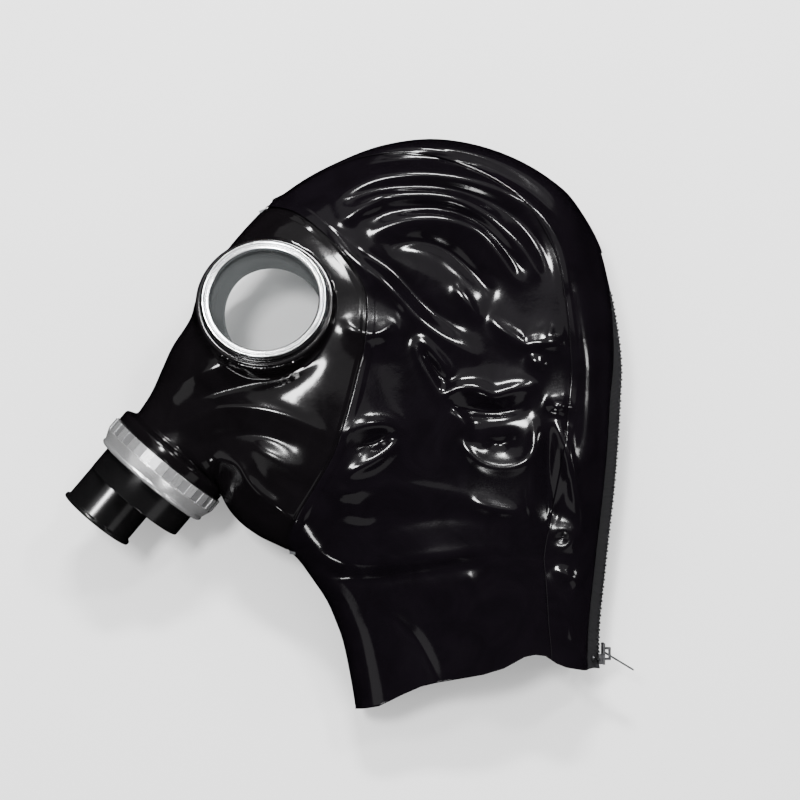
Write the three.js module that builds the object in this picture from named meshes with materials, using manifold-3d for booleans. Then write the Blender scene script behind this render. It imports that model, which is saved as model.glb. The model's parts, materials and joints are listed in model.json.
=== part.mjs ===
// A glossy latex costume hood with a moulded gas mask face, lying on its right side.
// Millimetres, +Z up. +X runs from the face to the back of the head, +Y from the neck to the crown,
// so the wearer's left side lies uppermost and the right side rests flat.
import * as THREE from 'three';
import { mergeVertices } from 'three/addons/utils/BufferGeometryUtils.js';
import Module from 'manifold-3d';

const wasm = await Module();
wasm.setup();

// Gap between pieces that touch on the real hood
const clearance = 0.3;

// Hood: depth from nose bridge to back, height from hem to crown, height of the highest cheek
const hood_depth = 238.3;
const hood_height = 325.8;
const lying_height = 84;
const latex_wall = 1.6;
const face_wall = 2.4;
const side_share = 0.785;
const fan_skew = 0.21;
const level_reach = 42;
const table_ease = 2;
const hem_reach = 0.82;

// Folds fade out towards the closed edge, between these shares of its rounding
const fold_fade = [0.1, 0.75];

// Slivers narrower than this are taken out of a cut piece
const sliver = 0.08;

// Eye: place as shares of the hood, tilt of the lens towards the crown, distances along its axis
const eye_at = [0.158, 0.7];
const eye_mid_height = 51;
const eye_tilt = 14.5 * Math.PI / 180;
const lens_thickness = 2.5;
const lens_offset = 33.7;
const eye_ring_radius = 34.5;
const eye_ring_height = 7.3;
const eye_ring_wall = 2.8;
const lens_cover = 2.1;
const socket_rim_wall = 3.1;
const socket_rim_height = 3;
const socket_flare = 5.4;
const socket_foot_offset = 8;
const socket_ledge = 4.5;
const ring_chamfer = 1;
const ring_groove_depth = 1.7;
const ring_ridge_drop = 0.8;
const ring_ridge_slope = 0.6;

// Nozzle: place as shares of the hood, height of its axis and its heading
const nozzle_at = [-0.083, 0.436];
const nozzle_height = 44;
const nozzle_heading = 230.1 * Math.PI / 180;
const throat_radius = 30;
const throat_setback = 8;
const collar_radius = 33.6;
const collar_bore_radius = 30.8;
const collar_length = 12.5;
const collar_bead_radius = 36;
const collar_bead_length = 7;
const collar_root = 2;
const bead_chamfer = 1.5;
const clamp_ring_radius = 37.5;
const clamp_ring_length = 15.7;
const knurl_length = 7;
const knurl_depth = 0.9;
const knurl_segments = 36;
const clamp_front_radius = 33;
const clamp_lip = 1.6;
const clamp_cone_step = 1.5;
const edge_chamfer = 0.8;
const valve_length = 14.5;
const valve_wall = 3;
const stub_radius = 21;
const stub_bore_radius = 18.6;
const stub_length = 21.9;
const stub_flange_radius = 22.5;
const stub_flange_length = 2.5;

// Back zip: where it starts on the back line, tapes, teeth, slider and pull
const zip_start = 0.315;
const zip_zone = [0.85, 0.86];
const zip_blend = 1.1;
const widest_slit = 0.62;
const tape_width = 9.3;
const tape_wall = 1.2;
const teeth_width = 4;
const teeth_thickness = 2;
const teeth_pitch = 6.4;
const teeth_notch = 0.45;
const slider_at = 0.955;
const slider_length = 12;
const slider_width = 8.4;
const slider_plate = 1.3;
const slider_post_share = 0.6;
const bridge_length = 7.2;
const bridge_width = 2.4;
const bridge_wall = 1.2;
const bridge_opening = 2.4;
const pull_length = 17.5;
const pull_width = 5.6;
const pull_thickness = 1;
const pull_arm = 1.2;
const pull_eye = 5;
const pull_rest_angle = -30.7 * Math.PI / 180;
const stop_at = 0.965;
const stop_share = 0.72;
const stop_radius = 2;
const stop_height = 1.2;
const stop_crown = 0.6;

// Pieces fused into one solid reach into each other by this, and cutters run past by the other
const fuse_overlap = 0.2;
const cut_overshoot = 30;

const black_latex = { color: 0x0a090a, roughness: 0.12, metalness: 0 };
const black_plastic = { color: 0x101011, roughness: 0.25, metalness: 0 };
const bright_aluminium = { color: 0xd4d6d8, roughness: 0.22, metalness: 1 };
const clear_glass = { color: 0xe8eeee, roughness: 0.05, metalness: 0, transparent: true, opacity: 0.35 };
const zip_fabric = { color: 0x17161a, roughness: 0.85, metalness: 0 };
const zip_metal = { color: 0x3a3a3e, roughness: 0.35, metalness: 1 };

// Plan lines of the hood, each row [share of depth, share of height]
const back_line = [
  [0.139, 0.873], [0.172, 0.890], [0.239, 0.925], [0.326, 0.960], [0.423, 0.987], [0.541, 0.999],
  [0.653, 0.988], [0.756, 0.960], [0.833, 0.925], [0.885, 0.890], [0.943, 0.820], [0.976, 0.733],
  [1.000, 0.610], [0.997, 0.541], [0.983, 0.401], [0.959, 0.243], [0.945, 0.147], [0.943, 0.077],
];
const seam_line = [
  [0.139, 0.873], [0.177, 0.868], [0.230, 0.852], [0.282, 0.822], [0.337, 0.782], [0.373, 0.742],
  [0.388, 0.716], [0.391, 0.681], [0.385, 0.621], [0.371, 0.579], [0.356, 0.535], [0.340, 0.493],
  [0.316, 0.441], [0.278, 0.392], [0.236, 0.343], [0.210, 0.305], [0.204, 0.278],
];
const neck_line = [
  [0.204, 0.278], [0.227, 0.261], [0.261, 0.226], [0.292, 0.191], [0.313, 0.156], [0.330, 0.121],
  [0.350, 0.051], [0.361, 0.002],
];
const nose_line = [
  [-0.125, 0.551], [-0.098, 0.593], [-0.073, 0.632], [-0.035, 0.675], [-0.001, 0.731], [0.043, 0.789],
  [0.093, 0.836], [0.139, 0.873],
];
const chin_line = [
  [0.055, 0.358], [0.086, 0.329], [0.134, 0.303], [0.182, 0.286], [0.204, 0.278],
];

// Wave of the cut hem: [share from front to back, lift as a share of the hem's width]
const hem_wave = [
  [0, 0], [0.1, 0.007], [0.186, 0.037], [0.268, 0.06], [0.35, 0.066], [0.515, 0.069], [0.597, 0.08],
  [0.679, 0.11], [0.72, 0.111], [0.76, 0.1], [0.803, 0.064], [0.844, 0.04], [0.926, 0.009], [1, 0],
];

// Heights at places on the hood. x and y are shares of depth and height, the rest shares of the
// lying height: mid line of the edge, upper sheet, lower sheet and radius of the rounded edge.
// Rows marked by_eye move up and down with the eyes.
const levels = [
  { name: 'nozzle', x: -0.07, y: 0.45, mid: 0.524, top: 0.88, floor: 0.17, round: 0.36 },
  { name: 'nose', x: -0.02, y: 0.59, mid: 0.56, top: 0.95, floor: 0.15, round: 0.38, by_eye: true },
  { name: 'eye', x: 0.158, y: 0.7, mid: 0.607, top: 1.0, floor: 0.17, round: 0.4, by_eye: true },
  { name: 'brow', x: 0.17, y: 0.84, mid: 0.54, top: 0.86, floor: 0.08, round: 0.38, by_eye: true },
  { name: 'cheek', x: 0.2, y: 0.5, mid: 0.56, top: 1.0, floor: 0.04, round: 0.42, by_eye: true },
  { name: 'chin', x: 0.2, y: 0.33, mid: 0.52, top: 0.92, floor: 0.02, round: 0.38 },
  { name: 'crown_front', x: 0.4, y: 0.85, mid: 0.5, top: 0.93, floor: -0.03, round: 0.4 },
  { name: 'crown', x: 0.6, y: 0.85, mid: 0.5, top: 0.93, floor: -0.03, round: 0.4 },
  { name: 'back_of_head', x: 0.85, y: 0.75, mid: 0.5, top: 0.92, floor: -0.03, round: 0.4 },
  { name: 'side', x: 0.6, y: 0.6, mid: 0.5, top: 0.88, floor: -0.03, round: 0.4 },
  { name: 'nape', x: 0.87, y: 0.5, mid: 0.5, top: 0.88, floor: -0.03, round: 0.36 },
  { name: 'neck', x: 0.6, y: 0.35, mid: 0.46, top: 0.82, floor: -0.03, round: 0.36 },
  { name: 'neck_front', x: 0.36, y: 0.2, mid: 0.38, top: 0.68, floor: -0.03, round: 0.3 },
  { name: 'neck_back', x: 0.87, y: 0.25, mid: 0.45, top: 0.78, floor: -0.03, round: 0.32 },
  { name: 'hem_front', x: 0.4, y: 0.03, mid: 0.3, top: 0.54, floor: -0.03, round: 0.28 },
  { name: 'hem_middle', x: 0.65, y: 0.08, mid: 0.42, top: 0.74, floor: -0.03, round: 0.3 },
  { name: 'hem_back', x: 0.9, y: 0.08, mid: 0.42, top: 0.72, floor: -0.03, round: 0.32 },
];

// Folds and dents of the upper sheet: path rows are shares of depth and height, rise and width are
// shares of the lying height, and a negative rise is a hollow.
const folds = [
  { name: 'crown_rim', rise: 0.04, width: 0.09,
    path: [[0.34, 0.92], [0.54, 0.945], [0.74, 0.91], [0.88, 0.8]] },
  { name: 'first_valley', rise: -0.06, width: 0.08,
    path: [[0.31, 0.885], [0.54, 0.918], [0.72, 0.865], [0.83, 0.768]] },
  { name: 'second_arc', rise: 0.04, width: 0.07,
    path: [[0.36, 0.868], [0.54, 0.893], [0.68, 0.85], [0.77, 0.77]] },
  { name: 'second_valley', rise: -0.06, width: 0.08,
    path: [[0.4, 0.845], [0.54, 0.868], [0.64, 0.83], [0.72, 0.77]] },
  { name: 'bowl', rise: -0.1, width: 0.26,
    path: [[0.46, 0.79], [0.57, 0.755], [0.67, 0.7]] },
  { name: 'shelf', rise: 0.07, width: 0.1,
    path: [[0.31, 0.842], [0.373, 0.789], [0.517, 0.707], [0.656, 0.616]] },
  { name: 'shelf_valley', rise: -0.05, width: 0.09,
    path: [[0.402, 0.742], [0.541, 0.654], [0.608, 0.611]] },
  { name: 'pinch', rise: 0.09, width: 0.11,
    path: [[0.732, 0.654], [0.8, 0.628], [0.85, 0.576], [0.856, 0.5]] },
  { name: 'crease', rise: 0.07, width: 0.09,
    path: [[0.5, 0.637], [0.53, 0.585], [0.565, 0.541]] },
  { name: 'crest', rise: 0.08, width: 0.09,
    path: [[0.58, 0.548], [0.65, 0.558], [0.766, 0.555]] },
  { name: 'hollow', rise: -0.09, width: 0.13,
    path: [[0.6, 0.515], [0.68, 0.505], [0.75, 0.515]] },
  { name: 'pocket', rise: 0.08, width: 0.1,
    path: [[0.627, 0.444], [0.71, 0.416], [0.785, 0.462]] },
  { name: 'back_valley', rise: -0.07, width: 0.1,
    path: [[0.79, 0.46], [0.78, 0.4], [0.79, 0.32]] },
  { name: 'back_ridge', rise: 0.06, width: 0.09,
    path: [[0.854, 0.488], [0.878, 0.422], [0.89, 0.339]] },
  { name: 'leaf_dent', rise: -0.08, width: 0.11,
    path: [[0.38, 0.44], [0.43, 0.458], [0.47, 0.47]] },
  { name: 'leaf_rim', rise: 0.05, width: 0.08,
    path: [[0.36, 0.49], [0.41, 0.503], [0.48, 0.49]] },
  { name: 'chin_roll', rise: 0.06, width: 0.12,
    path: [[0.33, 0.352], [0.47, 0.362], [0.7, 0.36]] },
  { name: 'neck_fold', rise: -0.08, width: 0.1,
    path: [[0.28, 0.27], [0.36, 0.265], [0.52, 0.285], [0.69, 0.29]] },
  { name: 'neck_pleat', rise: 0.05, width: 0.1,
    path: [[0.823, 0.226], [0.856, 0.184], [0.86, 0.09]] },
  { name: 'cheek_flute', rise: -0.06, width: 0.09,
    path: [[-0.03, 0.505], [0.08, 0.56], [0.2, 0.59]] },
  { name: 'cheek_roll', rise: 0.05, width: 0.1,
    path: [[-0.04, 0.47], [0.06, 0.525], [0.2, 0.535], [0.3, 0.49]] },
  { name: 'chin_crease', rise: -0.07, width: 0.09,
    path: [[0.03, 0.435], [0.09, 0.43], [0.14, 0.36], [0.19, 0.32]] },
];

const place = ([across, up]) => new THREE.Vector2(across * hood_depth, up * hood_height);
const smooth = (value, from, to) => THREE.MathUtils.smoothstep(value, Math.min(from, to), Math.max(from, to));

function planCurve(points) {
  return new THREE.CatmullRomCurve3(points.map((p) => new THREE.Vector3(p.x, p.y, 0)), false, 'centripetal');
}

const nozzle_axis = new THREE.Vector3(Math.cos(nozzle_heading), Math.sin(nozzle_heading), 0);
const nozzle_side = new THREE.Vector3(nozzle_axis.y, -nozzle_axis.x, 0);
const nozzle_origin = new THREE.Vector3(...place(nozzle_at).toArray(), nozzle_height);
const throat = nozzle_origin.clone().addScaledVector(nozzle_axis, -throat_setback);
const throat_nose = throat.clone().addScaledVector(nozzle_side, throat_radius);
const throat_chin = throat.clone().addScaledVector(nozzle_side, -throat_radius);

const back = planCurve(back_line.map(place));
const seam = planCurve(seam_line.map(place));
const neck = planCurve(neck_line.map(place));
const nose = planCurve([throat_nose, ...nose_line.map(place)]);
const chin = planCurve([throat_chin, ...chin_line.map(place)]);
const seam_share = seam.getLength() / (seam.getLength() + neck.getLength());

// Face seam as the straight cuts that the face's columns give it, so both pieces follow one line
const face_columns = 32;
const seam_cuts = new THREE.CurvePath();
const seam_stop = (j) => seam.getPointAt(1 - (1 - Math.cos(2 * Math.PI * j / face_columns)) / 2);
for (let j = face_columns / 2; j > 0; j -= 1) {
  seam_cuts.add(new THREE.LineCurve3(seam_stop(j), seam_stop(j - 1)));
}

// Closest distance in plan to a closed edge of the hood, where upper and lower sheets meet
const edge_steps = 90;
const edges = [back, neck, nose, chin].map((curve) => curve.getSpacedPoints(edge_steps));
const nearest = new THREE.Vector3();
const edge_piece = new THREE.Line3();

function distanceToPath(points, x, y) {
  const probe = new THREE.Vector3(x, y, 0);
  let best = Infinity;
  for (let i = 1; i < points.length; i += 1) {
    edge_piece.set(points[i - 1], points[i]).closestPointToPoint(probe, true, nearest);
    best = Math.min(best, nearest.distanceTo(probe));
  }
  return best;
}

const eye_level = levels.find((row) => row.name === 'eye').mid;
const eye_rise = eye_mid_height - eye_level * lying_height;

function levelAt(x, y) {
  const sum = { mid: 0, top: 0, floor: 0, round: 0 };
  let weights = 0;
  for (const row of levels) {
    const away = place([row.x, row.y]).distanceTo(new THREE.Vector2(x, y)) / level_reach;
    const weight = Math.exp(-away * away);
    weights += weight;
    for (const key of Object.keys(sum)) {
      sum[key] += weight * row[key] * lying_height;
    }
    if (row.by_eye) {
      sum.mid += weight * eye_rise;
      sum.top += weight * eye_rise;
      sum.floor += weight * eye_rise;
    }
  }
  for (const key of Object.keys(sum)) {
    sum[key] /= weights;
  }
  return sum;
}

const fold_steps = 14;
const fold_paths = folds.map((fold) => planCurve(fold.path.map(place)).getSpacedPoints(fold_steps));

function foldRise(x, y) {
  let rise = 0;
  folds.forEach((fold, index) => {
    const away = distanceToPath(fold_paths[index], x, y) / (fold.width * lying_height);
    rise += fold.rise * lying_height * Math.exp(-away * away * 2);
  });
  return rise;
}

// Near the zip the edge is a flat wedge, elsewhere it is round
function zipSharpness(x, y) {
  const [zip_x, zip_y] = place(zip_zone).toArray();
  return smooth(x, zip_x, zip_x * zip_blend) * (1 - smooth(y, zip_y, zip_y * zip_blend));
}

function surfaceHeight(x, y, upper) {
  const level = levelAt(x, y);
  const distance = Math.min(...edges.map((points) => distanceToPath(points, x, y)));
  const share = Math.min(distance / level.round, 1);
  const round_edge = Math.sqrt(Math.max(0, 1 - (1 - share) ** 2));
  const wedge_edge = Math.sin(share * Math.PI / 2);
  const bulge = THREE.MathUtils.lerp(round_edge, wedge_edge, zipSharpness(x, y));
  if (upper) {
    return level.mid + (level.top - level.mid) * bulge + foldRise(x, y) * smooth(share, ...fold_fade);
  }
  const height = level.mid - (level.mid - level.floor) * bulge;
  return height > table_ease ? height : Math.max(0, height + table_ease) ** 2 / (4 * table_ease);
}

// Front line of the hood at a share from brow to hem: face seam first, then front of the neck
function frontPoint(along) {
  if (along < seam_share) {
    return seam_cuts.getPoint(along / seam_share);
  }
  return neck.getPointAt((along - seam_share) / (1 - seam_share));
}

function backPoint(along) {
  return back.getPointAt(Math.min(1, along + fan_skew * Math.sin(Math.PI * along)));
}

function tableValue(table, share) {
  const next = Math.max(1, table.findIndex(([at]) => at >= share));
  const [from, low] = table[next - 1];
  const [to, high] = table[next];
  return THREE.MathUtils.lerp(low, high, smooth(share, from, to));
}

function tableRamp(table, at) {
  const next = Math.max(1, table.findIndex(([stop]) => stop >= at));
  const [from, low] = table[next - 1];
  const [to, high] = table[next];
  return THREE.MathUtils.lerp(low, high, (at - from) / (to - from));
}

function hoodPlan(along, across) {
  const front = frontPoint(along);
  const rear = backPoint(along);
  const lift = tableValue(hem_wave, across) * front.distanceTo(rear) * smooth(along, hem_reach, 1);
  return front.lerp(rear, across).add(new THREE.Vector3(0, lift, 0));
}

function hoodWidth(along) {
  return frontPoint(along).distanceTo(backPoint(along));
}

// Outer and inner points of a wall, the inner ones set in along the true normal of the surface
function wallPoints(rows, columns, outerAt, wall, ring) {
  const count = ring ? columns : columns + 1;
  const step = 0.02;
  const outer = [];
  const inner = [];
  for (let i = 0; i <= rows; i += 1) {
    for (let j = 0; j < count; j += 1) {
      const left = ring ? j - step : Math.max(j - step, 0);
      const right = ring ? j + step : Math.min(j + step, columns);
      const down = outerAt(Math.min(i + step, rows), j).sub(outerAt(Math.max(i - step, 0), j));
      const over = outerAt(i, right).sub(outerAt(i, left));
      const point = outerAt(i, j);
      outer.push(point);
      inner.push(point.clone().addScaledVector(over.cross(down).normalize(), wall));
    }
  }
  return { outer, inner, count };
}

// A wall of even thickness from a grid of outer points. Cells where present() is false stay open.
function wallSolid(rows, columns, outerAt, wall, present = () => true, ring = false) {
  const { outer, inner, count } = wallPoints(rows, columns, outerAt, wall, ring);
  const at = (i, j) => i * count + (ring ? (j + count) % count : j);
  const index = [];
  const quad = (a, b, c, d) => index.push(a, b, c, a, c, d);
  const shift = outer.length;
  const isOpen = (i, j) => {
    if (i < 0 || i >= rows || (!ring && (j < 0 || j >= columns))) {
      return true;
    }
    return !present(i, ring ? (j + columns) % columns : j);
  };
  for (let i = 0; i < rows; i += 1) {
    for (let j = 0; j < columns; j += 1) {
      if (isOpen(i, j)) {
        continue;
      }
      const corners = [at(i, j), at(i + 1, j), at(i + 1, j + 1), at(i, j + 1)];
      quad(...corners);
      quad(...corners.map((corner) => corner + shift).reverse());
      const sides = [[i, j - 1], [i + 1, j], [i, j + 1], [i - 1, j]];
      sides.forEach(([row, column], k) => {
        if (isOpen(row, column)) {
          const from = corners[k];
          const to = corners[(k + 1) % 4];
          quad(to, from, from + shift, to + shift);
        }
      });
    }
  }
  const geometry = new THREE.BufferGeometry();
  const points = [...outer, ...inner].flatMap((point) => point.toArray());
  geometry.setAttribute('position', new THREE.Float32BufferAttribute(points, 3));
  geometry.setIndex(index);
  return geometry;
}

function toSolid(geometry) {
  const bare = geometry.clone();
  bare.deleteAttribute('normal');
  bare.deleteAttribute('uv');
  const merged = mergeVertices(bare, 1e-4);
  const vertProperties = new Float32Array(merged.attributes.position.array);
  const triVerts = new Uint32Array(merged.index.array);
  return new wasm.Manifold(new wasm.Mesh({ numProp: 3, vertProperties, triVerts }));
}

function toGeometry(solid) {
  const { vertProperties, triVerts } = solid.simplify(sliver).getMesh();
  const geometry = new THREE.BufferGeometry();
  geometry.setAttribute('position', new THREE.Float32BufferAttribute(vertProperties, 3));
  geometry.setIndex([...triVerts]);
  return geometry;
}

// A turned solid: profile rows are [radius, distance along the axis], anticlockwise and closed
function turned(profile, segments, origin, axis) {
  const rows = profile[0][0] === 0 ? profile : [...profile, profile[0]];
  const geometry = new THREE.LatheGeometry(rows.map(([r, along]) => new THREE.Vector2(r, along)), segments);
  const turn = new THREE.Quaternion().setFromUnitVectors(new THREE.Vector3(0, 1, 0), axis);
  return geometry.applyQuaternion(turn).translate(origin.x, origin.y, origin.z);
}

function box(size, centre) {
  return new THREE.BoxGeometry(...size).translate(...centre);
}

function piece(name, geometry, finish) {
  geometry.computeVertexNormals();
  const mesh = new THREE.Mesh(geometry, new THREE.MeshStandardMaterial(finish));
  mesh.name = name;
  return mesh;
}

// Eye frames: the left lens looks up and towards the crown, the right one is its mirror image
const lens_radius = eye_ring_radius - eye_ring_wall;
const eye_opening_radius = lens_radius - lens_cover;
const socket_rim_radius = eye_ring_radius + socket_rim_wall;
const socket_foot_radius = socket_rim_radius + socket_flare;
const socket_lip_radius = eye_ring_radius - socket_ledge;
const ring_face_offset = lens_offset + eye_ring_height;
const eye_base = place(eye_at).sub(new THREE.Vector2(0, ring_face_offset * Math.sin(eye_tilt)));
const eye_origin = new THREE.Vector3(eye_base.x, eye_base.y, eye_mid_height);
const eye_sides = { left: 1, right: -1 };
const eyeAxis = (side) => new THREE.Vector3(0, Math.sin(eye_tilt), side * Math.cos(eye_tilt));

// Moulded face: a tube from the throat to the face seam, with eye sockets and a collar
const face_rows = 12;
const row_crowding = 0.9;
const throat_blend = 0.3;
const eye_segments = 26;
const nozzle_segments = 28;

function facePlan(out, up) {
  const throat_point = throat_chin.clone().lerp(throat_nose, up).setZ(0);
  const seam_point = seam.getPointAt(1 - up);
  const chin_point = chin.getPointAt(out);
  const nose_point = nose.getPointAt(out);
  const corners = throat_chin.clone().setZ(0).multiplyScalar((1 - out) * (1 - up))
    .addScaledVector(throat_nose.clone().setZ(0), (1 - out) * up)
    .addScaledVector(seam.getPointAt(1), out * (1 - up))
    .addScaledVector(seam.getPointAt(0), out * up);
  return throat_point.multiplyScalar(1 - out).addScaledVector(seam_point, out)
    .addScaledVector(chin_point, 1 - up).addScaledVector(nose_point, up).sub(corners);
}

function facePoint(i, j) {
  const angle = 2 * Math.PI * j / face_columns;
  const up = (1 - Math.cos(angle)) / 2;
  const length = throat_chin.clone().lerp(throat_nose, up).distanceTo(seam.getPointAt(1 - up));
  const out = Math.pow(i / face_rows, row_crowding) * (1 - clearance / length);
  const point = facePlan(out, up);
  const height = surfaceHeight(point.x, point.y, Math.sin(angle) > 0);
  const circle = nozzle_height + throat_radius * Math.sin(angle);
  return point.setZ(THREE.MathUtils.lerp(circle, height, smooth(out, 0, throat_blend)));
}

// The room inside the face out to the middle of its wall, closed at both ends, which clears the
// sockets' feet
function faceRoom() {
  const { inner } = wallPoints(face_rows, face_columns, facePoint, face_wall / 2, true);
  const index = [];
  for (let i = 0; i < face_rows; i += 1) {
    for (let j = 0; j < face_columns; j += 1) {
      const [a, b] = [i * face_columns + j, i * face_columns + (j + 1) % face_columns];
      index.push(a, a + face_columns, b + face_columns, a, b + face_columns, b);
    }
  }
  const last = face_rows * face_columns;
  for (let j = 0; j < face_columns / 2; j += 1) {
    const [a, b] = [(face_columns - j) % face_columns, face_columns - j - 1];
    index.push(j, j + 1, b, j, b, a);
    index.push(last + j, last + b, last + j + 1, last + j, last + a, last + b);
  }
  const geometry = new THREE.BufferGeometry();
  geometry.setAttribute('position', new THREE.Float32BufferAttribute(inner.flatMap((p) => p.toArray()), 3));
  geometry.setIndex(index);
  return toSolid(geometry);
}

function makeFacePiece() {
  let face = toSolid(wallSolid(face_rows, face_columns, facePoint, face_wall, undefined, true));
  const room = faceRoom();
  const seat = lens_offset - clearance;
  const rim = seat + socket_rim_height;
  const ring_bore = eye_ring_radius + clearance;
  for (const side of Object.values(eye_sides)) {
    const onEye = (profile) => toSolid(turned(profile, eye_segments, eye_origin, eyeAxis(side)));
    const outer = onEye([[0, socket_foot_offset], [socket_foot_radius, socket_foot_offset],
      [socket_rim_radius, rim], [0, rim]]);
    const foot = socket_foot_offset + face_wall;
    const hollow = onEye([[0, foot], [socket_foot_radius - face_wall * 1.5, foot],
      [socket_rim_radius - face_wall, seat - face_wall], [0, seat - face_wall]]);
    const bore = onEye([[0, foot], [socket_lip_radius, foot], [socket_lip_radius, seat], [ring_bore, seat],
      [ring_bore, rim + cut_overshoot], [0, rim + cut_overshoot]]);
    face = face.add(outer.subtract(room)).subtract(hollow).subtract(bore);
  }
  const inner_throat = throat_radius - face_wall;
  const root = -throat_setback - collar_root;
  const collar = turned([[inner_throat, root], [throat_radius, root],
    [collar_bead_radius - bead_chamfer, -collar_bead_length],
    [collar_bead_radius, -collar_bead_length + bead_chamfer],
    [collar_bead_radius, -clearance], [collar_radius, -clearance], [collar_radius, collar_length],
    [collar_bore_radius, collar_length], [collar_bore_radius, -collar_bead_length / 2]],
  nozzle_segments, nozzle_origin, nozzle_axis);
  return piece('face_piece', toGeometry(face.add(toSolid(collar))), black_latex);
}

// Hood panels: along runs from brow to hem, across from the front line to the back line
const fan_start = 0.012;
const crown_rows = 13;
const seam_rows = 26;
const hood_rows = 38;
const upper_columns = 14;
const lower_columns = 5;

// The face seam runs aslant to the rows, so its gap is wider along them, and ends at the neck
const seam_gap_ratio = 2.5;
const neck_ease = 0.97;

// Rows of the hood's grid, with one on the zip's top end and one on the chin corner
const row_stops = [[0, fan_start], [crown_rows, zip_start], [seam_rows, seam_share], [hood_rows, 1]];
const alongRow = (i) => tableRamp(row_stops, i);

function makeSidePanel(name, upper, columns) {
  const gap = (along) => clearance / hoodWidth(along);
  const pointAt = (i, j) => {
    const along = alongRow(i);
    const t = j / columns;
    const at_neck = smooth(along, seam_share * neck_ease, seam_share);
    const share = THREE.MathUtils.lerp(t, t * t * (2 - t), at_neck);
    const front_gap = seam_gap_ratio * gap(along) * (1 - at_neck);
    const point = hoodPlan(along, THREE.MathUtils.lerp(front_gap, side_share - gap(along), share));
    const lift = (upper ? 1 : -1) * clearance * at_neck * Math.max(0, 1 - j);
    return point.setZ(surfaceHeight(point.x, point.y, upper) + lift);
  };
  const flipped = (i, j) => pointAt(i, columns - j);
  return piece(name, wallSolid(hood_rows, columns, upper ? pointAt : flipped, latex_wall), black_latex);
}

// Across the centre panel, turn runs from -1 at the left seam over the back line to 1 at the right
function centrePoint(along, turn) {
  const point = hoodPlan(along, 1 - (1 - side_share) * turn * turn);
  return point.setZ(surfaceHeight(point.x, point.y, turn < 0));
}

function turnFor(along, width) {
  return Math.sqrt(width / ((1 - side_share) * hoodWidth(along)));
}

function makeCentrePanel() {
  const side_columns = 3;
  const edge_columns = 4;
  const columns = 2 * side_columns + edge_columns;
  const pointAt = (i, j) => {
    const along = alongRow(i);
    const slit = Math.min(turnFor(along, tape_width), widest_slit);
    const seam_turn = 1 - clearance / ((1 - side_share) * hoodWidth(along));
    const stops = [[0, -seam_turn], [side_columns, -slit], [side_columns + edge_columns, slit],
      [columns, seam_turn]];
    return centrePoint(along, tableRamp(stops, j));
  };
  const solid_cell = (i, j) => i < crown_rows || j < side_columns || j >= side_columns + edge_columns;
  return piece('centre_panel', wallSolid(hood_rows, columns, pointAt, latex_wall, solid_cell), black_latex);
}

const zip_gap = clearance / hood_height;

// The turn at which the sheet stands a given height above or below the zip's mid line
function turnForRise(along, rise, sign) {
  const middle = centrePoint(along, 0).z;
  let [low, high] = [0, 0.5];
  for (let k = 0; k < 16; k += 1) {
    const turn = (low + high) / 2;
    if (Math.abs(centrePoint(along, sign * turn).z - middle) < rise) {
      low = turn;
    } else {
      high = turn;
    }
  }
  return low;
}

function makeTape(name, sign) {
  const rows = 24;
  const columns = 2;
  const pointAt = (i, j) => {
    const along = THREE.MathUtils.lerp(zip_start + zip_gap * 2, 1, i / rows);
    const outer = turnFor(along, tape_width - clearance);
    const inner = turnForRise(along, teeth_width / 2 + clearance, -sign);
    const across = sign > 0 ? j / columns : 1 - j / columns;
    return centrePoint(along, -sign * THREE.MathUtils.lerp(outer, inner, across));
  };
  return piece(name, wallSolid(rows, columns, pointAt, tape_wall), zip_fabric);
}

// Frame on the back line: place, outward direction and direction down the zip
function zipFrame(along) {
  const step = 0.002;
  const at = backPoint(along);
  const down = backPoint(Math.min(1, along + step)).sub(backPoint(along - step)).normalize();
  const out = new THREE.Vector3(-down.y, down.x, 0);
  at.setZ(surfaceHeight(at.x, at.y, true));
  return { at, out, down };
}

function makeTeeth() {
  const length = backPoint(slider_at).distanceTo(backPoint(zip_start));
  const rows = 2 * Math.round(length / teeth_pitch);
  const stations = [];
  for (let i = 0; i <= rows; i += 1) {
    const frame = zipFrame(THREE.MathUtils.lerp(zip_start + zip_gap * 3, slider_at, i / rows));
    const half = teeth_width / 2 - (i % 2) * teeth_notch;
    const corners = [[-1, -1], [1, -1], [1, 1], [-1, 1]];
    stations.push(corners.map(([out, up]) => frame.at.clone()
      .addScaledVector(frame.out, out * teeth_thickness / 2).add(new THREE.Vector3(0, 0, up * half))));
  }
  const points = stations.flat().flatMap((point) => point.toArray());
  const index = [];
  for (let i = 0; i < rows; i += 1) {
    for (let k = 0; k < 4; k += 1) {
      const [a, b] = [4 * i + k, 4 * i + (k + 1) % 4];
      index.push(a, b + 4, a + 4, a, b, b + 4);
    }
  }
  index.push(0, 2, 1, 0, 3, 2);
  const last = 4 * rows;
  index.push(last, last + 1, last + 2, last, last + 2, last + 3);
  const geometry = new THREE.BufferGeometry();
  geometry.setAttribute('position', new THREE.Float32BufferAttribute(points, 3));
  geometry.setIndex(index);
  return piece('zip_teeth', geometry, zip_metal);
}

// Slider parts are laid out as [out from the zip, down the zip, up] and then set on the back line
const slider = zipFrame(slider_at);
const slider_matrix = new THREE.Matrix4().makeBasis(slider.out, slider.down, new THREE.Vector3(0, 0, -1))
  .setPosition(slider.at);
const plate_out = teeth_thickness / 2 + clearance;
const plate_face = plate_out + slider_plate;
const hinge_out = plate_face + bridge_opening / 2;

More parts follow.
